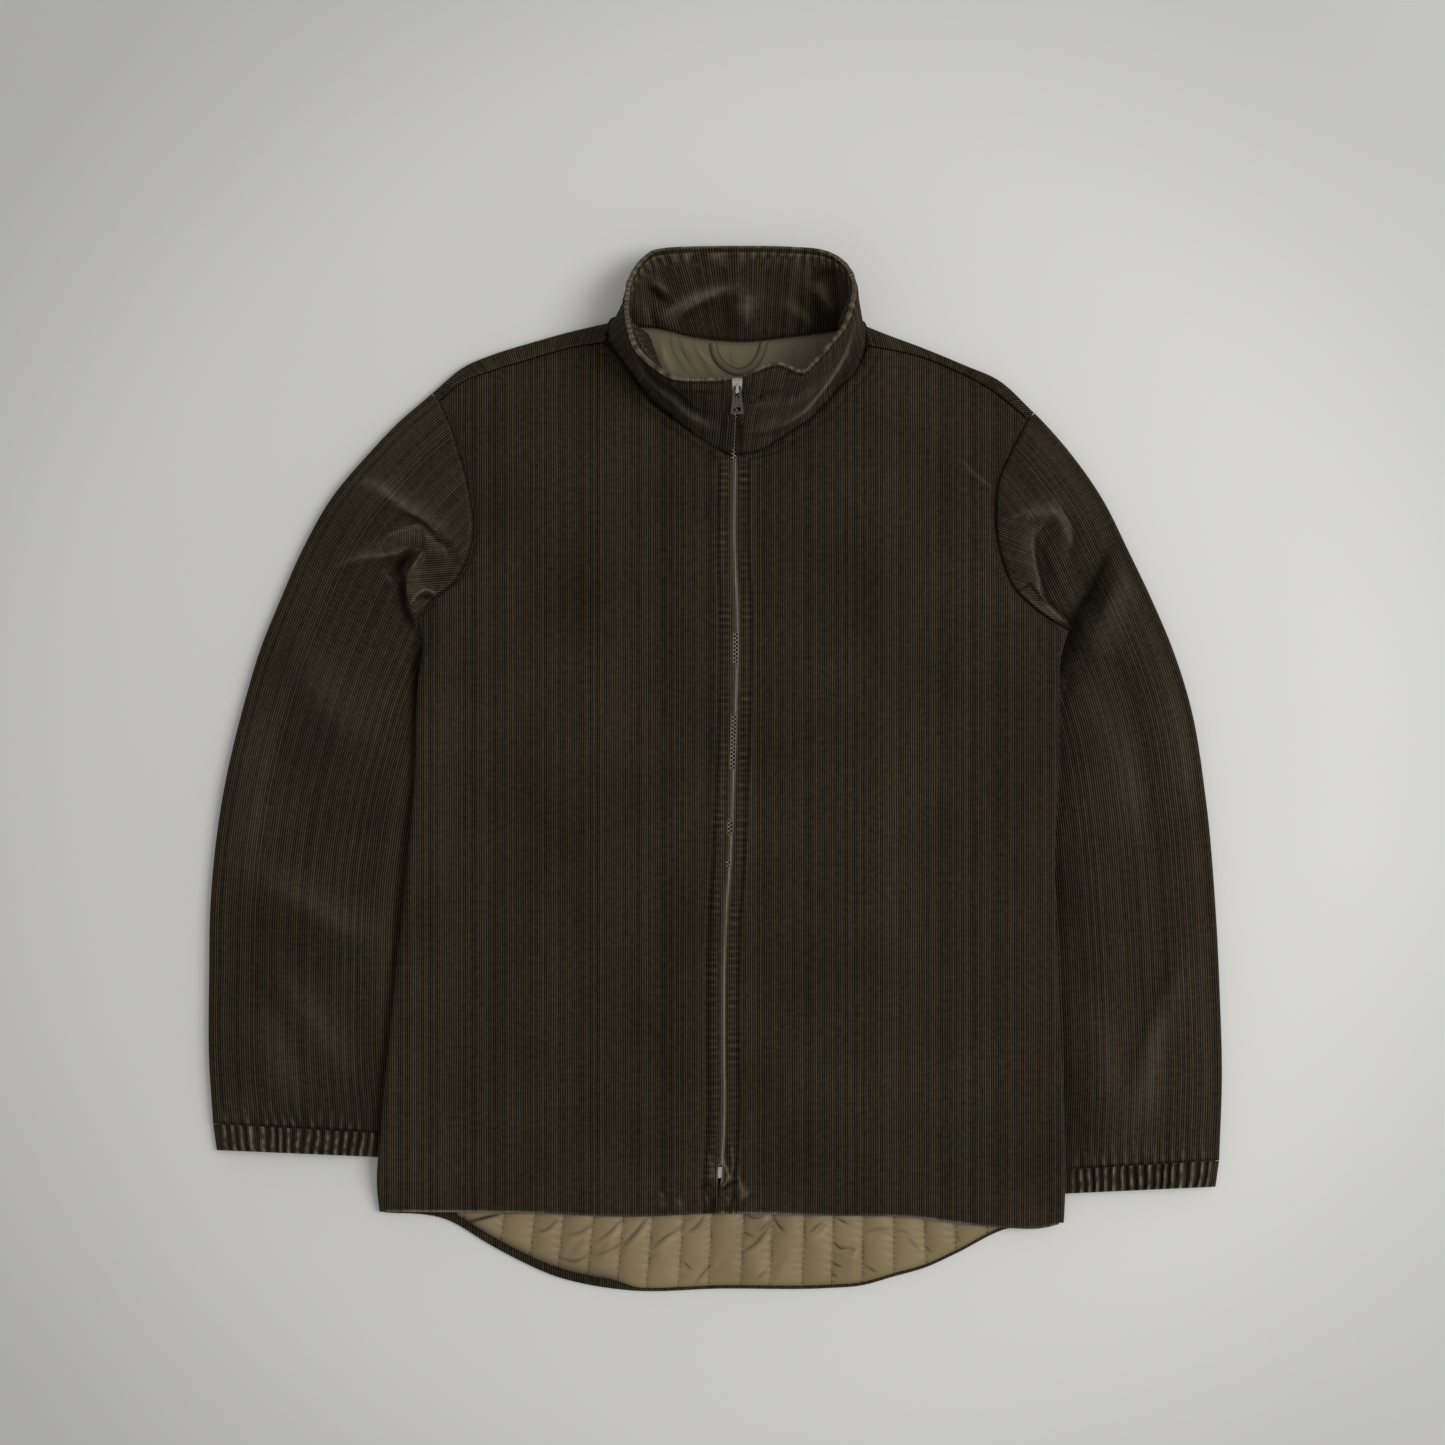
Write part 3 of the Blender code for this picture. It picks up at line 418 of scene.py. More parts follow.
def calc(add, operation, *values, clamp=False):
    return add("ShaderNodeMath", dict(enumerate(values)), operation=operation, use_clamp=clamp).outputs[0]


def noise(add, place, scale, detail):
    return add("ShaderNodeTexNoise", {"Vector": place, "Scale": scale, "Detail": detail}).outputs[0]


def remap(add, value, low, high, toLow=0.0, toHigh=1.0):
    return add("ShaderNodeMapRange", dict(enumerate((value, low, high, toLow, toHigh)))).outputs[0]


def blend(add, share, first, second):
    # a mix of two colours, each three numbers or a socket
    colours = [c if isinstance(c, bpy.types.NodeSocket) else (*c, 1) for c in (first, second)]
    return add("ShaderNodeMix", {0: share, 6: colours[0], 7: colours[1]}, data_type="RGBA").outputs[2]


def scaled(add, colour, share):
    return add("ShaderNodeVectorMath", {0: colour, "Scale": share}, operation="SCALE").outputs[0]


def bumped(add, height, strength, distance):
    return add("ShaderNodeBump", {"Height": height, "Strength": strength, "Distance": distance}).outputs[0]


def times(colour, factor):
    return tuple(c * factor for c in colour)


def groupOf(name, ins, outs):
    tree = bpy.data.node_groups.new(name, "ShaderNodeTree")
    for label, kind, value in ins:
        socket = tree.interface.new_socket(name=label, in_out="INPUT", socket_type=kind)
        if value is not None:
            socket.default_value = value
    for label, kind in outs:
        tree.interface.new_socket(name=label, in_out="OUTPUT", socket_type=kind)
    return tree, nodeAdder(tree), tree.nodes.new("NodeGroupInput"), tree.nodes.new("NodeGroupOutput")


def makeRibGroup():
    # ribs along the map's second axis: the rib's profile, its own shade, and soft patches of nap
    tree, add, source, target = groupOf(
        "cordRibs",
        (("Map", "NodeSocketVector", None), ("Pitch", "NodeSocketFloat", 0.0019),
         ("Wander", "NodeSocketFloat", 0.0008)),
        (("Rib", "NodeSocketFloat"), ("Grain", "NodeSocketFloat"), ("Nap", "NodeSocketFloat"),
         ("Fuzz", "NodeSocketFloat"), ("Hue", "NodeSocketFloat")))
    place = source.outputs["Map"]
    split = add("ShaderNodeSeparateXYZ", {0: place})
    drift = calc(add, "SUBTRACT", noise(add, place, 24.0, 1.0), 0.5)
    drift = calc(add, "MULTIPLY", drift, source.outputs["Wander"])
    across = calc(add, "ADD", split.outputs["X"], drift)
    phase = calc(add, "DIVIDE", across, source.outputs["Pitch"])
    wave = calc(add, "ABSOLUTE", calc(add, "SINE", calc(add, "MULTIPLY", phase, math.pi)))
    index = calc(add, "FLOOR", phase)
    chance = add("ShaderNodeTexWhiteNoise", {"W": index}, noise_dimensions="1D").outputs[0]
    row, down = calc(add, "MULTIPLY", index, 0.37), calc(add, "MULTIPLY", split.outputs["Y"], 260.0)
    streak = noise(add, add("ShaderNodeCombineXYZ", {"X": row, "Y": down}).outputs[0], 1.0, 3.0)
    grain = calc(add, "ADD", calc(add, "MULTIPLY", chance, 0.3), calc(add, "MULTIPLY", streak, 0.7))
    feed(tree, target, {
        "Rib": calc(add, "POWER", wave, 1.8), "Grain": grain, "Nap": noise(add, place, 10.0, 3.0),
        "Fuzz": noise(add, place, 1800.0, 2.0), "Hue": noise(add, place, 15.0, 2.0)})
    return tree


def makeWeaveGroup():
    # a fine plain weave with soft blotches, for lining, tape and webbing
    tree, add, source, target = groupOf(
        "plainWeave",
        (("Map", "NodeSocketVector", None), ("Threads", "NodeSocketFloat", 2200.0)),
        (("Weave", "NodeSocketFloat"), ("Blotch", "NodeSocketFloat")))
    place = source.outputs["Map"]
    split = add("ShaderNodeSeparateXYZ", {0: place})
    waves = [calc(add, "SINE", calc(add, "MULTIPLY", split.outputs[axis], source.outputs["Threads"]))
             for axis in ("X", "Y")]
    feed(tree, target, {"Weave": calc(add, "MULTIPLY", *waves), "Blotch": noise(add, place, 14.0, 3.0)})
    return tree


def newMaterial(name, colour):
    material = bpy.data.materials.new(name)
    material.use_nodes = True
    material.diffuse_color = (*colour, 1)
    return material, nodeAdder(material.node_tree)


def finishMaterial(material, inputs):
    feed(material.node_tree, material.node_tree.nodes["Principled BSDF"], inputs)
    return material


ribGroup = makeRibGroup()
weaveGroup = makeWeaveGroup()

corduroyLook = {
    "pitch": 0.0019, "wander": 0.0009,
    # the groove colour is the cloth's dark ground with painted shade between the ribs; the colour for wear
    # also serves painted highlights
    "shadedGroove": (0.0020, 0.0016, 0.0010), "ridge": (0.0560, 0.0445, 0.0275), "paintedLightAndWear": (0.26, 0.232, 0.168),
    # deepestPaintedShade is how dark the painted shade gets at its deepest
    "olive": (0.97, 1.02, 0.96), "reddish": (1.07, 0.975, 0.98), "deepestPaintedShade": 0.12,
    "ribDepth": 0.0006, "bump": 0.85, "sheen": 0.035, "sheenTint": (1.0, 0.88, 0.66),
}


def corduroy(name, look, shade=1.0, warm=1.0):
    material, add = newMaterial(name, look["ridge"])
    place = add("ShaderNodeUVMap", uv_map="cut").outputs[0]
    ribs = add("ShaderNodeGroup", {"Map": place, "Pitch": look["pitch"], "Wander": look["wander"]},
               node_tree=ribGroup).outputs
    tint = (shade * warm, shade, shade / warm)
    shadedGroove, ridge = ([c * t for c, t in zip(look[key], tint)] for key in ("shadedGroove", "ridge"))
    own = remap(add, ribs["Grain"], 0.25, 0.75, 0.55, 1.5)
    patch = remap(add, ribs["Nap"], 0.3, 0.7, 0.8, 1.2)
    toned = scaled(add, blend(add, ribs["Rib"], shadedGroove, ridge), calc(add, "MULTIPLY", own, patch))
    tone = blend(add, remap(add, ribs["Hue"], 0.42, 0.6), look["olive"], look["reddish"])
    tinted = add("ShaderNodeVectorMath", {0: toned, 1: tone}, operation="MULTIPLY").outputs[0]
    # above 0 the attribute bares the light ground of worn cloth and paints highlights, and below 0 it paints
    # shade
    wearAndPaintedLight = add("ShaderNodeAttribute", attribute_name="wearAndPaintedLight").outputs["Fac"]
    rough = remap(add, ribs["Grain"], 0.2, 0.8, 0.6, 1.4)
    wornAndLit = blend(add, calc(add, "MULTIPLY", wearAndPaintedLight, rough, clamp=True), tinted, look["paintedLightAndWear"])
    paintedShadeScale = remap(add, wearAndPaintedLight, -1.0, 0.0, look["deepestPaintedShade"], 1.0)
    height = calc(add, "ADD", ribs["Rib"], calc(add, "MULTIPLY", ribs["Fuzz"], 0.3))
    return finishMaterial(material, {
        "Base Color": scaled(add, wornAndLit, paintedShadeScale), "Normal": bumped(add, height, look["bump"], look["ribDepth"]),
        "Roughness": 0.95, "Specular IOR Level": 0.06, "Sheen Weight": look["sheen"], "Sheen Roughness": 0.45,
        "Sheen Tint": (*look["sheenTint"], 1)})


def wovenCloth(name, colour, roughness, threads=2200.0, sheen=0.1, depth=0.00008):
    material, add = newMaterial(name, colour)
    place = add("ShaderNodeUVMap", uv_map="cut").outputs[0]
    weave = add("ShaderNodeGroup", {"Map": place, "Threads": threads}, node_tree=weaveGroup).outputs
    base = blend(add, remap(add, weave["Blotch"], 0.3, 0.7), times(colour, 0.86), times(colour, 1.12))
    wearAndPaintedLight = add("ShaderNodeAttribute", attribute_name="wearAndPaintedLight").outputs["Fac"]
    # the attribute scales the colour: painted shade below 0, lighter from wear and painted highlights above 0
    return finishMaterial(material, {
        "Base Color": scaled(add, base, remap(add, wearAndPaintedLight, -1.0, 1.0, 0.15, 1.85)),
        "Roughness": remap(add, weave["Blotch"], 0.0, 1.0, roughness - 0.08, roughness + 0.08),
        "Normal": bumped(add, weave["Weave"], 0.5, depth), "Specular IOR Level": 0.3, "Sheen Weight": sheen})


def brushedMetal(name, colour, roughness, grime):
    material, add = newMaterial(name, colour)
    place = add("ShaderNodeTexCoord").outputs["Object"]
    mask = remap(add, noise(add, place, 1600.0, 3.0), 0.5, 0.85)
    return finishMaterial(material, {
        "Base Color": blend(add, mask, colour, grime), "Metallic": 1.0,
        "Roughness": remap(add, mask, 0.0, 1.0, roughness, roughness + 0.25),
        "Normal": bumped(add, noise(add, place, 4000.0, 2.0), 0.2, 0.00005)})


def threadMaterial(name, colour):
    material, add = newMaterial(name, colour)
    twist = noise(add, add("ShaderNodeTexCoord").outputs["Object"], 2500.0, 1.0)
    return finishMaterial(material, {
        "Base Color": blend(add, twist, colour, times(colour, 1.5)), "Roughness": 0.7,
        "Normal": bumped(add, twist, 0.4, 0.0001)})


shellCloth = corduroy("shellCorduroy", corduroyLook)
insideCloth = corduroy("insideCorduroy", corduroyLook, shade=1.05, warm=1.03)
tailCloth = wovenCloth("quiltedNylon", (0.250, 0.190, 0.096), 0.46)
# the tail's nylon made darker: painted shade under the collar
shadedNeckCloth = wovenCloth("neckNylonShaded", (0.145, 0.119, 0.066), 0.5)
webCloth = wovenCloth("loopWebbing", (0.125, 0.102, 0.057), 0.6, threads=3200.0)
tapeCloth = wovenCloth("zipTape", (0.008, 0.007, 0.005), 0.9, threads=3600.0)
darkMetal = brushedMetal("agedMetal", (0.50, 0.46, 0.37), 0.3, (0.12, 0.105, 0.08))
pullMetal = brushedMetal("pullMetal", (0.17, 0.155, 0.12), 0.34, (0.06, 0.054, 0.042))
brightMetal = brushedMetal("brightMetal", (0.72, 0.70, 0.64), 0.22, (0.30, 0.28, 0.24))
shellThread = threadMaterial("shellThread", (0.014, 0.012, 0.008))
liningThread = threadMaterial("liningThread", (0.11, 0.082, 0.042))
print("materials ready")


# painted highlights on the folds' edges and painted shade in their creases and gaps under the arms: strength,
# half widths, pixels
armPaintedLight = {
    -1: ((-0.95, 1.3, 1.6, (408, 515), (424, 524), (434, 534), (441, 541), (452, 547)),
         (0.22, 0.8, 1.4, (378, 544), (390, 534), (403, 529), (422, 527), (431, 532), (440, 541),
          (450, 562)),
         (0.12, 3.5, 2.0, (356, 480), (377, 485), (394, 499), (410, 510), (425, 522), (446, 540)),
         (0.17, 1.0, 2.6, (333, 565), (359, 557), (385, 554), (399, 550), (412, 548), (424, 551)),
         (-0.90, 3.0, 3.2, (411, 551), (404, 560), (398, 573)),
         (-0.85, 1.0, 5.5, (396, 562), (403, 576), (405, 592), (407, 606), (414, 622), (424, 640)),
         (0.16, 1.2, 1.2, (381, 563), (390, 579), (400, 588)),
         (0.42, 1.2, 0.5, (423, 551), (413, 566), (408, 572), (406, 587), (406, 601), (409, 616)),
         (-0.75, 0.9, 0.9, (409, 567), (413, 556), (420, 551)),
         (0.22, 0.6, 0.6, (411, 569), (422, 562), (425, 552)),
         (0.38, 0.9, 0.7, (410, 605), (419, 593), (427, 590), (435, 594), (439, 602)),
         (-0.98, 1.5, 1.3, (417, 599), (427, 596), (436, 601)),
         (-0.70, 0.7, 0.7, (407, 614), (419, 614), (437, 603)),
         (0.20, 2.0, 2.0, (413, 610), (424, 637)),
         (-0.95, 1.0, 4.5, (421, 634), (418, 655), (418, 690), (417, 740))),
    1: ((0.42, 0.5, 1.2, (1042, 525), (1034, 534), (1033, 541), (1034, 555), (1036, 568), (1039, 580),
         (1041, 592), (1044, 602), (1052, 610), (1060, 617), (1071, 631), (1069, 636), (1060, 652)),
        (-0.90, 3.4, 0.7, (1046, 526), (1038, 535), (1036, 546), (1037, 560), (1040, 573), (1043, 586),
         (1046, 598), (1054, 607), (1064, 616), (1075, 630)),
        (0.12, 3.0, 3.0, (1006, 522), (1030, 512), (1045, 510), (1060, 514), (1067, 528), (1069, 545),
         (1065, 558)),
        (-0.55, 4.5, 1.6, (1064, 508), (1074, 526), (1076, 540), (1072, 556)),
        (-0.75, 4.0, 4.5, (1114, 547), (1104, 565), (1098, 578), (1092, 592), (1082, 606)),
        (-0.97, 8.0, 6.0, (1092, 592), (1078, 614), (1073, 630), (1070, 645), (1065, 660), (1062, 690)),
        (0.26, 2.2, 2.2, (1017, 587), (1032, 602), (1045, 612), (1056, 623), (1062, 636), (1061, 648)),
        (-0.85, 0.8, 0.8, (1028, 582), (1038, 594), (1045, 604)),
        (-0.60, 0.7, 0.7, (1032, 583), (1020, 590)),
        (-0.75, 0.8, 0.8, (1024, 602), (1040, 612), (1054, 625), (1062, 637)),
        (0.12, 1.2, 1.2, (960, 458), (975, 474), (994, 489))),
}


# the two fronts

frontLook = {
    "rows": 515, "zipColumns": 16, "columns": 54, "sideColumns": 7, "edgeColumns": 7,
    "bandsEnd": (0.058, 0.94),
    "stitchInset": 9.6, "stitchDepth": 1.3, "puckerPitch": 5.6, "puckerHeight": 0.55,
    "waveHeight": 1.1, "hemPitch": 4.3, "hemGather": 0.6, "closedGap": 0.3, "openGap": 1.5,
    "lipWear": {-1: 0.12, 1: 1.2}, "openWear": 0.45, "hemWear": {-1: 0.3, 1: 0.75}, "hemLight": 0.5,
    "belowBox": 343,
    # painted highlights and painted shade of the creases near the hem: strength, half widths, pixels
    "paintedCreaseLight": {
        -1: ((0.30, 0.9, 0.9, (708, 1150), (711, 1170), (709, 1184)),
             (0.26, 0.8, 0.8, (713, 1158), (714, 1180)),
             (-0.85, 1.2, 1.2, (701, 1188), (708, 1184), (714, 1189)),
             (0.30, 0.9, 0.9, (703, 1190), (707, 1202), (704, 1213)),
             (-0.60, 1.0, 1.0, (709, 1190), (712, 1203), (711, 1214)),
             (-0.90, 1.0, 1.4, (716, 1190), (715, 1202), (713, 1214)),
             (0.28, 1.0, 1.0, (660, 1190), (664, 1200), (661, 1210)),
             (-0.50, 1.0, 1.0, (666, 1192), (671, 1202), (669, 1211)),
             (0.22, 1.0, 1.0, (674, 1190), (679, 1202), (681, 1211))),
        1: ((0.75, 1.0, 0.7, (722, 1156), (726, 1168), (728, 1177), (722, 1188)),
            (-0.90, 1.2, 1.2, (720, 1191), (729, 1185), (738, 1181)),
            (0.32, 1.0, 1.0, (731, 1144), (733, 1164), (730, 1182)),
            (-0.60, 1.0, 1.0, (728, 1144), (730, 1160), (730, 1174)),
            (0.36, 1.0, 1.0, (738, 1174), (742, 1192), (740, 1210)),
            (-0.75, 1.0, 1.0, (733, 1190), (737, 1203), (735, 1213)),
            (0.30, 0.8, 0.8, (726, 1194), (730, 1208)),
            (-0.90, 1.4, 1.0, (717, 1192), (716, 1202), (714, 1214)),
            (0.28, 1.0, 1.0, (744, 1186), (748, 1198), (746, 1210)),
            (-0.50, 1.0, 1.0, (750, 1188), (754, 1200), (752, 1211))),
    },
    "openRows": ((632, 665), (715, 770), (820, 835), (860, 866), (1166, 1184)),
    "creases": {
        -1: ((0.9, 7, 12, (560, 470), (600, 500), (650, 520)),
             (0.8, 14, 9, (470, 640), (480, 760), (470, 880)),
             (0.9, 12, 16, (640, 900), (620, 1000), (640, 1110))),
        1: ((1.6, 10, 14, (863, 415), (967, 417), (1003, 429)),
            (-1.3, 5, 8, (960, 454), (973, 470), (994, 490)),
            (0.9, 16, 10, (960, 640), (940, 780), (950, 930)),
            (-0.8, 6, 9, (762, 486), (800, 478), (840, 484))),
    },
    "cuts": {-1: {"flat": (0.298, 0.72), "area": 0.177}, 1: {"flat": (0.293, 0.727), "area": 0.179}},
}


def teethGap(y):
    # half the space between the two folded edges: nearly shut, but open where the teeth show
    gap = np.full(np.shape(y), frontLook["closedGap"])
    for top, bottom in frontLook["openRows"]:
        low, high = photoPlace((0, bottom))[1], photoPlace((0, top))[1]
        inside = step((y - low + 3) / 6) * step((high + 3 - y) / 6)
        more = (frontLook["openGap"] - frontLook["closedGap"]) * inside
        gap = np.maximum(gap, frontLook["closedGap"] + more)
    return gap


def frontShape(side, x, y, toEdge, toZip, rows):
    toHem = y - hemY(x)
    toShoulder = side["seamY"](x) - y
    turn = sideTurn(rows)
    puff = 6.0 * rise(toEdge, 28) * rise(toHem + 2, 22) * rise(toShoulder + 1, 26)
    puff = puff * (0.6 + 0.4 * rise(toZip, 14))
    dip = (1 - turn) * bell(toEdge, 5)
    overTail = 4.0 * step(1 - (toHem - 12) / 30) * step((x + 250) / 34) * step((268 - x) / 34)
    folds = mainFoldHeight(x, y, side["sign"]) * rise(toEdge, 10) * rise(toHem, 15)
    return bodyHeight + sideLift(x, y) + puff - dip + overTail + folds


def frontDetail(side, x, y, toEdge, toZip):
    look = frontLook
    sign = side["sign"]
    toHem = y - hemY(x)
    toShoulder = side["seamY"](x) - y
    creases = creaseHeight(x, y, look["creases"][sign])
    waves = look["waveHeight"] * softWaves(x, y, 11 + sign, 95)
    soft = (creases + waves) * rise(toEdge, 26) * rise(toHem, 26) * rise(toZip, 16) * rise(toShoulder, 22)
    uneven = 1 + 0.5 * softWaves(x, y, 31 + sign, 34)
    wobble = 1.4 * softWaves(x * 0.2, y, 21 + sign, 26)
    pucker = np.sin(2 * np.pi * y / look["puckerPitch"] + wobble) * uneven
    onBand = step((toZip - 0.8) / 2) * step((look["stitchInset"] - toZip) / 2)
    beyond = np.where(toZip > look["stitchInset"], 0.55 * np.exp(-(toZip - look["stitchInset"]) / 5), 0)
    fine = look["puckerHeight"] * pucker * (onBand + beyond) * rise(toHem, 10)
    fine = fine - look["stitchDepth"] * bell(toZip - look["stitchInset"], 1.5)
    fine = fine + 0.45 * bell(toZip - look["stitchInset"] - 3.0, 2.0) + 0.5 * bell(toZip - 4.5, 3.0)
    gather = np.sin(2 * np.pi * x / look["hemPitch"] + 1.6 * softWaves(x, y * 0.3, 41 + sign, 40))
    fine = fine + look["hemGather"] * gather * np.exp(-np.maximum(toHem, 0) / 4) * uneven
    fine = fine - 0.7 * bell(toShoulder - 1.0, 2.2) + 0.4 * bell(toShoulder - 6, 3.5)
    fine = fine - 0.6 * bell(toEdge - 1.0, 2.5) * (1 - step((side["underarm"] - y) / 10))
    return soft, fine, pucker * rise(toHem, 10), onBand


def makeFront(name, node, side):
    look = frontLook
    sign = side["sign"]
    rows = np.concatenate([[0, 0.02, 0.05, 0.09, 0.14], np.linspace(0.2, bodyRows, look["rows"])])
    nearZip, nearEdge = look["bandsEnd"]
    across = np.concatenate([np.linspace(0, nearZip, look["zipColumns"]),
                             np.linspace(nearZip, nearEdge, look["columns"])[1:],
                             np.linspace(nearEdge, 1, look["sideColumns"])[1:]])
    edge = bodyEdge(side, rows)
    zipEdge = frontInner(side, rows)
    start = edge + foldRadius * unitOf(zipEdge - edge)

    def foldStart(v):
        edges = bodyEdge(side, v * bodyRows)
        return edges + foldRadius * unitOf(frontInner(side, v * bodyRows) - edges)

    hemIn = frontInner(side, np.array([0.0]))[0]
    hemOut = foldStart(np.array([0.0]))[0]
    neckEnd = side["neckPath"](1.0)
    topOut = foldStart(np.array([1.0]))[0]

    def bottom(u):
        x = hemIn[0] + (hemOut[0] - hemIn[0]) * u
        return np.stack((x, hemY(x)), -1)

    def top(u):
        x = neckEnd[0] + (topOut[0] - neckEnd[0]) * u
        return np.stack((x, side["seamY"](x) - 2 * seamGap), -1)

    spot = patchOf(lambda v: frontInner(side, v * bodyRows), foldStart, bottom, top, across, rows / bodyRows)
    x, y = spot[..., 0], spot[..., 1]
    rowsWide = rows[:, None]
    toEdge = np.linalg.norm(spot - edge[:, None], axis=-1)
    toZip = np.linalg.norm(spot - zipEdge[:, None], axis=-1)
    base = frontShape(side, x, y, toEdge, toZip, rowsWide)
    soft, fine, pucker, onBand = frontDetail(side, x, y, toEdge, toZip)
    toHemEdge = np.linalg.norm(edge - bodyEdge(side, np.array([0.0])), axis=-1)
    hemEase = np.where(rows < 1, 1.5 * np.exp(-toHemEdge / 1.5), 0)
    onNeck = step((rows - (bodyRows - neckRows) + 0.5) / 1.0)[:, None]
    outerZ = base + soft + fine - hemEase[:, None] - 1.1 * onNeck * np.exp(-toZip / 1.6)
    innerZ = np.maximum(base + soft - wall["body"], 4.4 + sideLift(x, y))
    innerZ = np.minimum(innerZ + 0.6 * hemEase[:, None], outerZ - 1.6)
    outer = [np.dstack((x, y, outerZ))]
    inner = [np.dstack((x, y, innerZ))]
    maps = [np.dstack((x, y))]
    toHem = y - hemY(x)
    gap = teethGap(zipEdge[:, 1])[:, None]
    openShare = (gap - look["closedGap"]) / (look["openGap"] - look["closedGap"])
    lipWear = np.maximum(look["lipWear"][sign], look["openWear"] * openShare) * (1 - onNeck)
    lipWear = lipWear * step((zipEdge[:, 1:] + look["belowBox"]) / 4)
    offEdge = 1 - step((rowsWide - sideRows) / 1.5)
    offSeam = toZip - look["stitchInset"]
    hemWear = look["hemWear"][sign] + look["hemLight"] * step((-135 - x) / 15)
    hemWear = hemWear * bell(toHem - 0.5, 0.9) * (0.6 + 0.4 * np.sin(x * 1.4))
    # lighter at the zip's edge and the hem from wear; painted highlights and shade on the creases and
    # puckers; painted shade in the stitch groove, along the armhole seam and at the zip's edge below the
    # collar; painted highlights on the side's edge and beside the stitching; light ticks of stitching by the
    # armhole seam
    paintedLightAndWear = [0.1 * lipWear * bell(toZip, 1.2) + hemWear + creaseHeight(x, y, look["paintedCreaseLight"][sign])
            + (0.09 * pucker * onBand + (0.3 * pucker - 0.5) * bell(offSeam, 1.5)) * (1 - onNeck)
            + 0.07 * bell(offSeam - 2.6, 1.0) * (1 - onNeck) - 0.6 * onNeck * bell(toZip, 1.0)
            + 0.1 * bell(toEdge, 1.6) * offEdge - 0.8 * bell(toEdge - 0.3, 1.0) * (1 - offEdge)
            + 0.1 * bell(toEdge - 2.6, 1.2) * (1 - offEdge) * (1 + 0.8 * np.sin(2 * np.pi * y / 2.9))
            + creaseHeight(x, y, armPaintedLight[sign])]

    # the folded edge at the zip, rolled over the teeth
    reach = (slotHalf(zipEdge[:, 1])[:, None] - gap) * (1 - onNeck)
    lipX, lipZ = [], []
    for share, drop in ((0.55, 0.1), (0.86, 0.45), (1.0, 1.0), (0.97, 1.5), (0.55, 1.8), (0.0, 1.9)):
        lipX.append(x[:, :1] - sign * reach * share)
        lipZ.append(outerZ[:, :1] - drop * (0.25 + 0.75 * (1 - onNeck)))
    lipX, lipZ = np.hstack(lipX[::-1]), np.hstack(lipZ[::-1])
    lipY = np.repeat(y[:, :1], lipX.shape[1], axis=1)
    outer.insert(0, np.dstack((lipX, lipY, lipZ)))
    lipInZ = innerZ[:, :1] + np.linspace(0.9, 0.05, lipX.shape[1])[None, :]
    inner.insert(0, np.dstack((np.repeat(x[:, :1], lipX.shape[1], axis=1), lipY, lipInZ)))
    maps.insert(0, np.dstack((lipX, lipY)))
    # the roll's underside toward the slit is painted darker, as shade; its crest is lighter from wear
    paintedLightAndWear.insert(0, lipWear * np.array([0, 0, 0.8, 1, 1, 0.6]) - np.array([0.9, 0.8, 0.1, 0, 0, 0]))

    # the side folds under to meet the back
    turn = sideTurn(rows)
    middle = foldRadius + sideLift(edge[:, 0], edge[:, 1]) + seamGap / 2
    crest = outerZ[:, -1]
    farFromZip = 99.0
    for at, atIn, drop, arc in foldSteps(turn, start, edge, look["edgeColumns"]):
        flatZ = frontShape(side, at[:, 0], at[:, 1], np.linalg.norm(at - edge, axis=1), farFromZip, rows)
        z = flatZ * (1 - turn) + crest * turn
        zIn = z - wall["body"]
        outer.append(np.column_stack((at, z - drop * (z - middle) - hemEase * (1 - drop)))[:, None])
        inner.append(np.column_stack((atIn, zIn - drop * (zIn - middle)))[:, None])
        maps.append(np.column_stack((start[:, 0] + sign * arc, at[:, 1]))[:, None])
        paintedLightAndWear.append(np.zeros((len(rows), 1)))
    piece = buildWall(name, np.hstack(outer), np.hstack(inner), np.hstack(maps), np.hstack(paintedLightAndWear))
    return finishCloth(piece, node, shellCloth)


frontLeft = makeFront("front_left_cloth", "front_left", leftSide)
frontRight = makeFront("front_right_cloth", "front_right", rightSide)


# the back, with the drop tail and the two shoulder strips

backLook = {
    "rows": 150, "shoulderColumns": 34, "neckColumns": 30, "edgeColumns": 6, "stripRows": 15,
    "stripPuff": 1.3, "cut": {"flat": (0.575, 0.82), "area": 0.398},
}


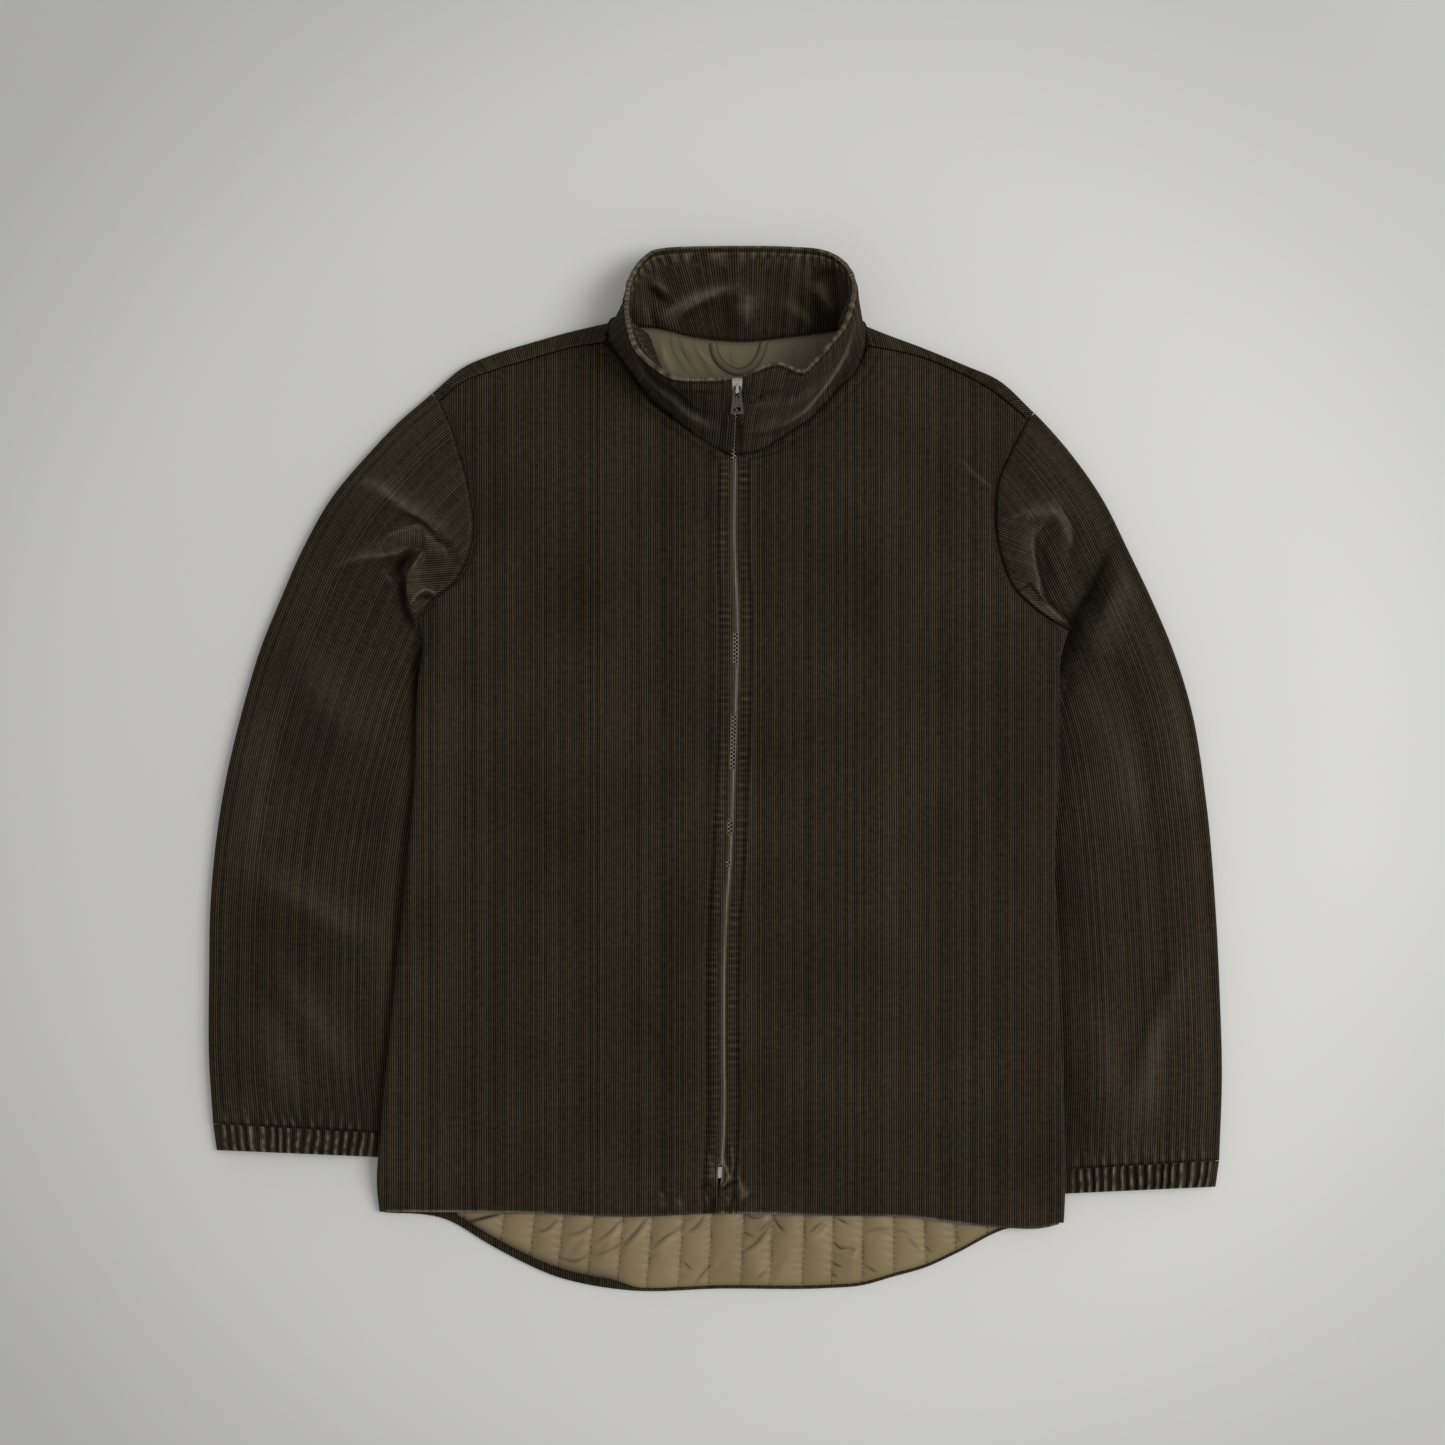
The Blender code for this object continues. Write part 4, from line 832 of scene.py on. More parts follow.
def makeBack(name):
    look = backLook
    tip = 0.03
    rows = np.concatenate([[0, 0.04, 0.12], np.linspace(0.3, bodyRows, look["rows"])])
    shoulder = np.linspace(0, 0.3, look["shoulderColumns"])
    neck = np.linspace(0.3, 0.7, look["neckColumns"])[1:-1]
    across = np.concatenate([shoulder, neck, 1 - shoulder[::-1]])

    def foldStart(side, v):
        other = rightSide if side is leftSide else leftSide
        edges = bodyEdge(side, v * bodyRows)
        return edges + foldRadius * unitOf(bodyEdge(other, v * bodyRows) - edges)

    low = foldStart(leftSide, np.array([0.0]))[0]
    high = foldStart(rightSide, np.array([0.0]))[0]

    def bottom(u):
        x = low[0] + (high[0] - low[0]) * u
        return np.stack((x, tailY(x)), -1)

    def top(u):
        leftPart = leftSide["seamPath"](tip + (1 - tip) * np.minimum(u / 0.3, 1))
        rightPart = rightSide["seamPath"](tip + (1 - tip) * np.minimum((1 - u) / 0.3, 1))
        middlePart = backNeck((u - 0.3) / 0.4)
        return np.where((u < 0.3)[:, None], leftPart, np.where((u > 0.7)[:, None], rightPart, middlePart))

    spot = patchOf(lambda v: foldStart(leftSide, v), lambda v: foldStart(rightSide, v),
                   bottom, top, across, rows / bodyRows)
    x, y = spot[..., 0], spot[..., 1]
    lift = sideLift(x, y)
    ease = 1.1 * np.exp(-rows * 12)[:, None]
    outer = [np.dstack((x, y, lift + 0.6 * ease))]
    inner = [np.dstack((x, y, lift + wall["body"] - ease))]
    maps = [np.dstack((x, y))]
    aboveTail = y - tailY(x)
    # lighter along the tail's edge from wear; a band of painted shade above it on the tail's left part
    paintedLightAndWear = [0.12 * bell(aboveTail, 1.2) - 0.12 * bell(aboveTail - 4, 4) * onLeftTail(x)]
    turn = sideTurn(rows)
    for side in (leftSide, rightSide):
        edge = bodyEdge(side, rows)
        start = foldStart(side, rows / bodyRows)
        startLift = sideLift(start[:, 0], start[:, 1])
        middle = foldRadius + sideLift(edge[:, 0], edge[:, 1]) - seamGap / 2
        for at, atIn, climb, arc in foldSteps(turn, start, edge, look["edgeColumns"]):
            z = startLift + climb * (middle - startLift)
            zIn = startLift + wall["body"] + climb * (middle - startLift - wall["body"])
            cells = (np.column_stack((at, z))[:, None], np.column_stack((atIn, zIn))[:, None],
                     np.column_stack((start[:, 0] + side["sign"] * arc, at[:, 1]))[:, None],
                     np.zeros((len(rows), 1)))
            for stack, cell in zip((outer, inner, maps, paintedLightAndWear), cells):
                stack.insert(0 if side is leftSide else len(stack), cell)
    outer, inner, maps, paintedLightAndWear = np.hstack(outer), np.hstack(inner), np.hstack(maps), np.hstack(paintedLightAndWear)

    # the shoulder strips: up round the shoulder fold and down the front to the shoulder seam
    flatRows = len(outer)
    edgeColumns = look["edgeColumns"]
    columns = outer.shape[1]
    number = np.arange(columns)
    u = across[np.clip(number - edgeColumns, 0, len(across) - 1)]
    onLeft = u < 0.5
    beyond = np.maximum(np.maximum(edgeColumns - number, number - (columns - 1 - edgeColumns)), 0)
    s = tip + (1 - tip) * np.minimum(np.where(onLeft, u, 1 - u) / 0.3, 1.0)
    s = s * (1 - beyond / edgeColumns)
    seam = np.where(onLeft[:, None], leftSide["seamPath"](s), rightSide["seamPath"](s))
    fold = np.where(onLeft[:, None], leftSide["foldPath"](s), rightSide["foldPath"](s))
    inward = unitOf(seam - fold)
    begin = fold + foldRadius * inward
    wrap = [(angle, 0.0) for angle in range(0, 181, 15)]
    wrap += [(180, along) for along in np.linspace(0, 1, look["stripRows"])[1:]]
    extra = [[], [], [], []]
    for angle, along in wrap:
        turned = math.radians(angle)
        at = begin + (seam - inward * seamGap - begin) * along
        bulge = look["stripPuff"] * math.sin(math.pi * min(along, 1.0)) * (beyond == 0)
        out = at - inward * foldRadius * math.sin(turned)
        inn = at - inward * air / 2 * math.sin(turned)
        extra[0].append(np.column_stack((out, foldRadius - foldRadius * math.cos(turned) + bulge)))
        extra[1].append(np.column_stack((inn, np.full(columns, foldRadius - air / 2 * math.cos(turned)))))
        arc = foldRadius * turned + along * np.linalg.norm(seam - begin, axis=1)
        extra[2].append(begin - inward * arc[:, None])
        # painted highlight on the roll before the shoulder seam and painted shade in the seam
        seamEdge = math.exp(-((1 - along) / 0.05) ** 2) if angle == 180 else 0.0
        rolled = math.exp(-((1 - along) / 0.16) ** 2) if angle == 180 else 0.0
        extra[3].append(np.full(columns, 0.14 * rolled - 0.95 * seamEdge))
    outer = np.concatenate([outer, np.array(extra[0])])
    inner = np.concatenate([inner, np.array(extra[1])])
    maps = np.concatenate([maps, np.array(extra[2])])
    paintedLightAndWear = np.concatenate([paintedLightAndWear, np.array(extra[3])])
    present = np.ones((len(outer) - 1, columns - 1), bool)
    leftEnd = edgeColumns + len(shoulder) - 1
    inStrip = (np.arange(columns - 1) < leftEnd) | (np.arange(columns - 1) >= columns - 1 - leftEnd)
    present[flatRows - 1:] = inStrip[None, :]
    piece = buildWall(name, outer, inner, maps, paintedLightAndWear, present)
    return finishCloth(piece, "back_panel", shellCloth)


makeBack("back_panel_cloth")


# the sleeves

sleeveLook = {
    "rowsArm": 132, "rowsDown": 150, "columns": 84, "length": 420, "puff": 9.0, "cuffLoft": 15.0, "edge": 6.0,
    "seam": 8.6, "tuck": 8.0, "waveHeight": 1.4, "gather": 1.15,
    "creases": {
        -1: ((5.0, 12, 4, (354, 480), (385, 495), (403, 507), (420, 519), (437, 530), (450, 541)),
             (-3.6, 3, 3.5, (400, 513), (424, 524), (438, 535), (447, 545)),
             (5.2, 2.6, 9, (376, 545), (389, 535), (399, 531), (422, 527), (432, 533), (440, 544),
              (449, 559)),
             (4.6, 7, 2.6, (345, 559), (370, 555), (385, 554), (401, 551), (413, 548)),
             (-5.5, 3, 9, (382, 562), (397, 561), (411, 556)),
             (-5.0, 6, 4, (398, 578), (401, 596), (404, 616), (408, 632)),
             (5.6, 13, 2.4, (416, 560), (412, 568), (408, 580), (407, 594), (408, 608), (415, 617)),
             (2.6, 2.5, 4, (414, 552), (421, 557), (415, 568)),
             (2.8, 3, 2.2, (409, 609), (415, 597), (420, 591), (430, 592), (437, 597)),
             (-3.6, 2.2, 2.6, (418, 597), (428, 598), (437, 602)),
             (2.6, 14, 8, (254, 869), (307, 901), (350, 927), (387, 938)),
             (-1.6, 8, 10, (262, 905), (310, 936), (352, 962)),
             (2.4, 15, 9, (280, 970), (312, 1019), (355, 1077)),
             (2.2, 9, 14, (262, 1008), (291, 1088), (299, 1118)),
             (2.0, 18, 12, (300, 640), (330, 700), (372, 740)),
             (-1.8, 9, 14, (250, 780), (300, 800), (350, 804)),
             (2.0, 12, 16, (262, 690), (258, 780), (244, 880))),
        1: ((4.6, 10, 8, (1012, 522), (1032, 511), (1050, 510), (1063, 519), (1067, 534), (1068, 552)),
            (5.4, 2.4, 14, (1043, 524), (1034, 534), (1032, 545), (1035, 561), (1040, 582), (1043, 600)),
            (-4.0, 6, 2.5, (1045, 532), (1041, 548), (1045, 575), (1050, 597)),
            (4.2, 2.6, 9, (1041, 599), (1052, 611), (1062, 621), (1072, 631), (1068, 642), (1060, 653)),
            (2.4, 3, 2, (1016, 590), (1024, 586), (1031, 581), (1038, 592)),
            (-6.0, 9, 11, (1112, 552), (1099, 583), (1090, 601), (1078, 619), (1070, 643), (1064, 668)),
            (3.0, 14, 12, (1128, 560), (1120, 590), (1108, 625), (1098, 660)),
            (2.6, 12, 9, (1185, 963), (1156, 1033), (1138, 1110), (1130, 1151)),
            (-1.6, 10, 8, (1168, 960), (1136, 1030), (1118, 1100)),
            (2.2, 14, 10, (1090, 690), (1120, 760), (1130, 840)),
            (-1.8, 10, 14, (1100, 860), (1140, 900), (1190, 905)),
            (2.0, 10, 16, (1160, 620), (1180, 700), (1190, 790)),
            (1.8, 12, 12, (1090, 1000), (1110, 1060), (1120, 1130))),
    },
    # where the folds turn the cloth: the ribs' new direction in degrees, then the patch's outline in pixels
    "twists": {
        -1: ((4, (423, 527), (435, 531), (447, 540), (454, 549), (466, 572), (458, 581), (443, 598),
              (434, 597), (427, 590), (419, 594), (412, 606), (408, 612), (406, 601), (406, 587),
              (407, 576), (410, 569), (419, 565), (425, 551)),
             (88, (381, 540), (388, 534), (399, 529), (422, 527), (424, 546), (409, 548), (399, 550),
              (385, 553)),
             (38, (412, 606), (419, 595), (427, 592), (436, 598), (440, 604), (424, 622), (409, 614))),
        1: ((-19, (990, 500), (1004, 508), (1012, 520), (1028, 514), (1040, 526), (1034, 534), (1033, 545),
             (1036, 568), (1040, 585), (1043, 601), (1030, 585), (1020, 590), (1000, 590), (990, 548)),
            (-8, (1020, 590), (1030, 585), (1043, 602), (1060, 617), (1074, 632), (1060, 654), (1040, 630))),
    },
    # foldPaintedLight is how strongly the creases' heights paint light and shade
    "seamNear": 0.1, "foldPaintedLight": 0.032,
    "cuts": {-1: {"flat": (0.34, 0.618), "area": 0.166}, 1: {"flat": (0.295, 0.633), "area": 0.1435}},
}


def sleeveLine(side, rows):
    head = 0.283
    sign = side["sign"]
    t = 1 - np.minimum(rows, armRows) / armRows
    place = side["armPath"](t)
    along = unitOf(side["armPath"](np.minimum(t + 0.02, 1)) - side["armPath"](np.maximum(t - 0.02, 0)))
    away = np.stack((-along[:, 1], along[:, 0]), -1) * -sign
    w = np.maximum(rows - armRows, 0) / sleeveRows
    y = side["underarm"] + (side["seamIn"] - side["underarm"]) * w
    near = sleeveLook["seamNear"] + 0.5 * step(rows - armRows)
    tuck = -near + (sleeveLook["tuck"] + near) * step((side["underarm"] - 22 - y) / 45)
    lower = np.stack((side["edgeX"](y) - sign * tuck, y), -1)
    onArm = (rows <= armRows)[:, None]
    start = np.where(onArm, place + away * sleeveLook["seamNear"], lower)
    end = side["outerPath"](np.where(rows <= armRows, head * rows / armRows, head + (1 - head) * w))
    return start, end


def insideOf(x, y, pixels):
    # whether each point lies within a closed outline
    corners = np.array([photoPlace(pixel) for pixel in pixels])
    within = np.zeros(np.shape(x), bool)
    for a, b in zip(corners, np.roll(corners, -1, axis=0)):
        between = (a[1] > y) != (b[1] > y)
        within ^= between & (x < a[0] + (b[0] - a[0]) * (y - a[1]) / (b[1] - a[1] + 1e-9))
    return within


def makeSleeve(name, node, side):
    look = sleeveLook
    sign = side["sign"]
    last = armRows + sleeveRows
    rows = np.concatenate([np.linspace(0, armRows, look["rowsArm"]),
                           np.linspace(armRows, last, look["rowsDown"])[1:]])
    start, end = sleeveLine(side, rows)
    width = np.linalg.norm(end - start, axis=1)
    along = (end - start) / width[:, None]
    free = step((rows - armRows) / 2)
    toCuff = (last - rows) / sleeveRows * look["length"]
    inset = np.minimum(3.0, 0.3 * (width - foldRadius))
    low = look["seam"] + (look["edge"] - look["seam"]) * free

    def placeAt(d):
        return start[:, None] + along[:, None] * d[..., None]

    def shapes(d):
        x, y = placeAt(d)[..., 0], placeAt(d)[..., 1]
        w, f, c = width[:, None], free[:, None], toCuff[:, None]
        puff = look["puff"] * rise(w - d, 16) * rise(d - 10 * f, 18) * rise(c + look["cuffLoft"], 30)
        fade = rise(w - d, 12) * rise(d - 10 * f, 10)
        folds = mainFoldHeight(x, y, sign) * fade
        base = low[:, None] + (bodyHeight - 0.4 - low[:, None]) * d / w + puff + folds
        creases = creaseHeight(x, y, look["creases"][sign]) * fade * rise(c, 14)
        waves = look["waveHeight"] * softWaves(x, y, 51 + sign, 70) * fade * rise(c, 20)
        pull = np.sin(2 * np.pi * (x * along[:, None, 0] + y * along[:, None, 1]) / 8.0
                      + 1.5 * softWaves(x, y, 61 + sign, 40))
        gathered = look["gather"] * pull * np.exp(-c / 17) * fade
        seam = -1.1 * bell(d, 1.8) * (1 - f) + 0.8 * bell(d - 5.0, 3.0) * (1 - f)
        uneven = 0.75 + 0.5 * softWaves(x, y, 65 + sign, 14)
        # painted light and shade that follow the creases and the gathers near the cuff
        tone = look["foldPaintedLight"] * np.clip(creases, -6, 3.5) + 0.34 * pull * uneven * np.exp(-c / 8) * fade
        return base, creases + waves, gathered + seam, tone

    columns = look["columns"]
    spread = np.linspace(0, 1, columns)[None, :]
    flatEnd = (width - foldRadius)[:, None]
    topD = inset[:, None] + spread * (flatEnd - inset[:, None])
    edgeD = (0.9 * free)[:, None]
    base, soft, fine, tone = shapes(np.hstack((edgeD, topD)))
    topOuter = base + soft + fine
    topInner = np.minimum(np.maximum(base + soft - wall["sleeve"], wall["sleeve"] + 0.8), topOuter - 1.0)
    topOuter[:, 0] -= 0.9 * free
    crest = topOuter[:, -1]
    angles = np.radians(np.arange(15, 180, 15))
    foldD = flatEnd + foldRadius * np.sin(angles)[None, :]
    foldZ = crest[:, None] / 2 * (1 + np.cos(angles))[None, :]
    foldZin = crest[:, None] / 2 + (crest[:, None] / 2 - wall["sleeve"]) * np.cos(angles)[None, :]
    under = np.linspace(1, 0, 12)[None, :]
    underD = inset[:, None] + under * (flatEnd - inset[:, None])
    d = np.hstack((np.zeros((len(rows), 1)), edgeD, topD, foldD, underD, edgeD))
    zOut = np.hstack((0.5 * low[:, None], topOuter, foldZ, np.zeros_like(underD), (0.9 * free)[:, None]))
    zIn = np.hstack((0.5 * low[:, None], topInner, foldZin,
                     np.full_like(underD, wall["sleeve"]), np.full((len(rows), 1), wall["sleeve"])))
    margin = wall["sleeve"] + 0.25
    f, w = free[:, None], width[:, None]
    deep = f * margin + (w - (1 + f) * margin) * d / w
    deep[:, 0] = np.maximum(deep[:, 0], 1.2)
    outer = np.dstack((placeAt(d), zOut))
    inner = np.dstack((placeAt(deep), zIn))
    # the ribs run parallel to the sleeve's outer edge, and turn where the folds twist the cloth
    x, y = outer[..., 0], outer[..., 1]
    edgeLine = side["outerPath"](np.linspace(0, 1, 50))
    away, share = nearPath(x, y, edgeLine, smooth=False)
    across = -sign * np.abs(away)
    downward = -share * np.linalg.norm(np.diff(edgeLine, axis=0), axis=1).sum()
    first = columns + 1  # the column where the fold begins
    onTop = np.arange(x.shape[1])[None, :] <= first
    for turn, *outline in look["twists"][sign]:
        patch = insideOf(x, y, outline) & onTop
        c, s = math.cos(math.radians(turn)), math.sin(math.radians(turn))
        across = np.where(patch, c * y - s * x, across)
        downward = np.where(patch, c * x + s * y, downward)
    steps = np.linalg.norm(np.diff(np.dstack((d, zOut)), axis=1), axis=2)
    run = np.cumsum(steps[:, first:], axis=1)
    across[:, first + 1:] = across[:, first:first + 1] + sign * run
    maps = np.dstack((across, downward))
    maps = np.concatenate([maps, maps[:, -1:] + np.array([sign * 1.0, 0])], axis=1)
    # light ticks of stitching by the armhole seam; painted shade in the armhole seam and at the cuff seam;
    # painted highlights and shade of the folds
    ticks = 0.5 + 0.5 * np.sin(2 * np.pi * rows[:, None] * 26 / 2.9)
    onArm = step((armRows + 0.2 - rows[:, None]) / 0.8)
    paintedLightAndWear = (0.2 * ticks * bell(d - 2.4, 1.3) - 0.8 * bell(d - 0.4, 1.0)) * onArm
    paintedLightAndWear = paintedLightAndWear - 0.5 * bell(toCuff[:, None], 1.0) + creaseHeight(x, y, armPaintedLight[sign]) * onTop
    paintedLightAndWear[:, 1:first + 1] += tone
    count = outer.shape[1]
    present = np.ones((len(rows) - 1, count), bool)
    inArm = rows[:-1] < armRows - 1e-6
    present[inArm, 0] = False
    present[inArm, count - 1] = False
    piece = buildWall(name, outer, inner, maps, paintedLightAndWear, present, closed=True)
    return finishCloth(piece, node, shellCloth)


makeSleeve("sleeve_left_cloth", "sleeve_left", leftSide)
makeSleeve("sleeve_right_cloth", "sleeve_right", rightSide)


# the gathered cuffs

cuffLook = {
    "pleats": 18, "perPleat": 12, "rows": 22, "height": 1.9, "depth": 29, "inset": 3,
    "cuts": {-1: {"flat": (0.332, 0.029), "area": 0.0092}, 1: {"flat": (0.321, 0.029), "area": 0.0088}},
}


def makeCuff(name, node, side):
    look = cuffLook
    sign, inset = side["sign"], look["inset"]
    seamIn, seamOut = (point[0] for point in sleeveLine(side, np.array([float(armRows + sleeveRows)])))
    drop = np.array((0, -seamGap))
    lowIn = np.array((side["edgeX"](side["cuffIn"]) - sign * sleeveLook["tuck"], side["cuffIn"]))
    lowOut = np.array(side["cuffOut"], float)
    level = np.concatenate([[0, 0.03, 0.07], np.linspace(0.12, 0.88, look["rows"]), [0.93, 0.97, 1]])
    start = seamIn + drop + (lowIn - seamIn - drop) * level[:, None]
    end = seamOut + drop + (lowOut - seamOut - drop) * level[:, None]
    width = np.linalg.norm(end - start, axis=1)[:, None]
    along = (end - start) / width
    count = look["pleats"] * look["perPleat"]
    share = np.linspace(0, 1, count + 1)[None, :]
    d = inset + (width - inset - foldRadius) * share
    base = sleeveLook["edge"] + 5.4 * rise(d - 10, 14) * rise(width - d, 14)
    pleats = look["height"] * step((d - 9) / 10) * step((width - d - 4) / 6)
    rng = np.random.default_rng(71 + sign)
    lively = np.interp(share * look["pleats"], np.arange(look["pleats"] + 1),
                       rng.uniform(0.5, 1.3, look["pleats"] + 1))
    down = level[:, None] * look["depth"]
    shift = 0.35 * np.sin(level[:, None] * 5 + rng.uniform(0, 6)) + 0.9 * softWaves(d, down * 0.8, 75, 36)
    swing = (1 - np.cos(2 * np.pi * look["pleats"] * share + shift)) / 2
    wave = 2 * pleats * lively * swing
    ease = 1.1 * (1 - np.sin(np.pi * np.clip(level, 0.02, 0.98)) ** 0.25)[:, None]
    bands = 0.5 * bell((level - 0.86) * look["depth"], 1.2) + 0.4 * bell((level - 0.1) * look["depth"], 1.2)
    topOut = base + wave - ease - bands[:, None] * step((d - 9) / 10)
    topIn = base - wall["cuff"] - 0.4 + 0 * d
    angles = np.radians(np.arange(20, 180, 20))
    tall = topOut[:, -1:] / 2
    foldD = width - foldRadius + foldRadius * np.sin(angles)[None, :]
    foldZ = tall + tall * np.cos(angles)[None, :]
    foldZin = tall + (tall - wall["cuff"]) * 0.6 * np.cos(angles)[None, :]
    under = np.linspace(1, 0, 10)[None, :]
    underD = inset + (width - inset - foldRadius) * under
    ones = np.ones_like(width)
    allD = np.hstack((0 * ones, 0.9 * ones, d, foldD, underD, 0.9 * ones))
    half = sleeveLook["edge"] / 2
    zOut = np.hstack((half * ones, 5.1 * ones, topOut, foldZ, 0 * underD, 0.9 * ones))
    zIn = np.hstack((half * ones, 3.15 * ones, topIn, foldZin, wall["cuff"] + 0 * underD,
                     wall["cuff"] * ones))
    margin = wall["cuff"] + 0.4
    deep = margin + (width - 2 * margin) * allD / width
    outer = np.dstack((start[:, None] + along[:, None] * allD[..., None], zOut))
    inner = np.dstack((start[:, None] + along[:, None] * deep[..., None], zIn))
    steps = np.linalg.norm(np.diff(np.dstack((allD, zOut)), axis=1), axis=2)
    around = np.concatenate([np.zeros((len(level), 1)), np.cumsum(steps, axis=1)], axis=1)
    around = np.repeat(around[len(level) // 2][None], len(level), axis=0)
    maps = np.dstack((around, np.repeat(-down, around.shape[1], axis=1)))
    maps = np.concatenate([maps, maps[:, -1:] + np.array([1.0, 0])], axis=1)
    # painted highlights on the pleats' crests and painted shade in their valleys; the cuff's edge is lighter
    # from wear
    ridge = np.zeros_like(allD)
    paintedCrestLight = np.clip(0.6 + 0.4 * softWaves(d, down, 77 + sign, 11), 0.15, 1) * pleats / look["height"]
    ridge[:, 2:2 + count + 1] = 0.03 + 0.6 * paintedCrestLight * swing ** 4 - 0.6 * (1 - swing) ** 4
    paintedLightAndWear = ridge + 0.22 * bell((1 - level) * look["depth"], 1.4)[:, None]
    piece = buildWall(name, outer, inner, maps, paintedLightAndWear, closed=True)
    return finishCloth(piece, node, shellCloth)


makeCuff("cuff_left_cloth", "cuff_left", leftSide)
makeCuff("cuff_right_cloth", "cuff_right", rightSide)


# the standing collar, two layers

collarLook = {
    "perSection": 11, "levels": 40, "rimStitch": 3.6, "gather": 0.75, "slit": 0.7,
    "foot": 3.0, "innerFoot": 1.3,
    # where the inner layer stands off from the outer one: section, half width in sections, millimetres
    "bulges": ((4.2, 1.4, 18.0), (15.2, 1.3, 12.0)),
    # painted highlights and painted shade along the collar's creases, and painted shade in the zip's slit:
    # strength, half widths, pixels
    "outerPaintedLight": (
        (-0.85, 1.4, 2.0, (639, 350), (654, 373), (679, 391), (693, 405), (719, 416)),
        (0.24, 3.0, 1.5, (636, 356), (650, 380), (674, 398), (690, 412), (712, 424)),
        (-0.95, 1.3, 1.3, (739, 412), (740, 430), (740, 453)),
        (-0.70, 1.0, 1.0, (680, 390), (700, 390), (722, 392)),
        (-0.70, 1.0, 1.0, (726, 384), (726, 420), (725, 456)),
        (-0.80, 0.9, 0.9, (754, 378), (748, 390), (745, 404)),
        (-0.50, 1.0, 1.8, (746, 402), (764, 393), (784, 387)),
        (0.38, 1.4, 1.4, (852, 323), (845, 351), (832, 373), (818, 392), (805, 407), (779, 425)),
        (-0.60, 3.0, 4.5, (860, 330), (853, 356), (841, 378), (826, 396)),
        (-0.45, 1.4, 1.4, (744, 432), (764, 434), (790, 424)),
        (-0.40, 1.2, 1.2, (728, 424), (738, 426), (748, 424))),
    "innerPaintedLight": (
        (-0.95, 3.2, 2.6, (645, 283), (656, 292), (669, 303)),
        (-0.60, 4.0, 4.0, (812, 277), (828, 272), (842, 272)),
        (-0.60, 6.0, 6.0, (808, 296), (820, 310), (829, 326)),
        (-0.35, 9.0, 9.0, (718, 296), (728, 318), (735, 338)),
        (-0.45, 3.0, 3.5, (682, 318), (700, 306), (716, 299)),
        (0.14, 4.0, 2.5, (664, 310), (690, 298), (714, 292), (736, 283)),
        (0.16, 0.8, 5.0, (632, 292), (646, 306), (652, 322), (655, 336), (662, 362)),
        (-0.65, 3.0, 0.8, (650, 308), (655, 322), (657, 338)),
        (0.12, 2.0, 2.0, (744, 288), (748, 306), (742, 332))),
    "outerCreases": (
        (-1.5, 3, 6, (645, 368), (660, 396), (677, 416)),
        (1.6, 5, 4, (634, 362), (648, 392), (668, 418)),
        (-1.4, 3, 5, (680, 393), (700, 402), (716, 415)),
        (1.5, 6, 4, (676, 404), (694, 416), (712, 428)),
        (1.2, 7, 4, (650, 392), (672, 424), (700, 440)),
        (-1.4, 3, 5, (748, 391), (764, 391), (779, 390)),
        (1.3, 4, 4, (746, 402), (766, 402), (786, 398)),
        (-1.5, 3, 5, (850, 327), (839, 356), (814, 381), (779, 400)),
        (2.0, 6, 3.5, (846, 340), (830, 366), (806, 388), (776, 408)),
        (1.3, 5, 5, (748, 432), (775, 422), (802, 410))),
    "innerCreases": (
        (3.6, 4, 10, (651, 323), (668, 312), (685, 303), (710, 291), (734, 285)),
        (-1.7, 5, 4, (648, 290), (658, 296), (670, 292)),
        (2.6, 3, 5, (646, 278), (660, 286), (672, 298)),
        (2.0, 8, 5, (706, 330), (735, 312), (762, 300)),
        (-1.6, 6, 6, (690, 320), (716, 306), (740, 298)),
        (1.8, 4, 8, (746, 285), (748, 306), (744, 330)),
        (3.0, 4, 8, (806, 268), (820, 284), (830, 302), (828, 322)),
        (-1.7, 5, 5, (826, 272), (838, 284), (842, 300)),
        (2.2, 6, 4, (778, 300), (800, 312), (818, 326))),
    "cuts": {"outer": {"flat": (0.49, 0.086), "area": 0.032},
             "inner": {"flat": (0.49, 0.086), "area": 0.031}},
}


def collarGrid():
    count = collarLook["perSection"] * (len(collarSections) - 1) + 1
    sections = smoothCurve(range(len(collarSections)), collarSections)
    place = np.linspace(0, len(collarSections) - 1, count)
    rows = sections(place)
    levels = np.concatenate([[0, 0.008], np.linspace(0.018, 0.9, collarLook["levels"]),
                             [0.925, 0.945, 0.96, 0.972, 0.982, 0.99, 0.996, 1]])
    base, rim = rows[:, None, :3], rows[:, None, 3:]
    grid = base + (rim - base) * levels[None, :, None]
    # below the slider the two ends meet over the teeth
    half = (grid[-1, :, 0] - grid[0, :, 0]) / 2
    shift = (half - collarLook["slit"]) * (1 - step((levels - 0.42) / 0.22))
    grid[..., 0] += (bell(place, 0.7) - bell(place[-1] - place, 0.7))[:, None] * shift[None, :]
    around = np.gradient(grid, axis=0)
    upward = np.gradient(grid, axis=1)
    normals = unitOf(np.cross(upward, around))
    return grid, normals, levels, place


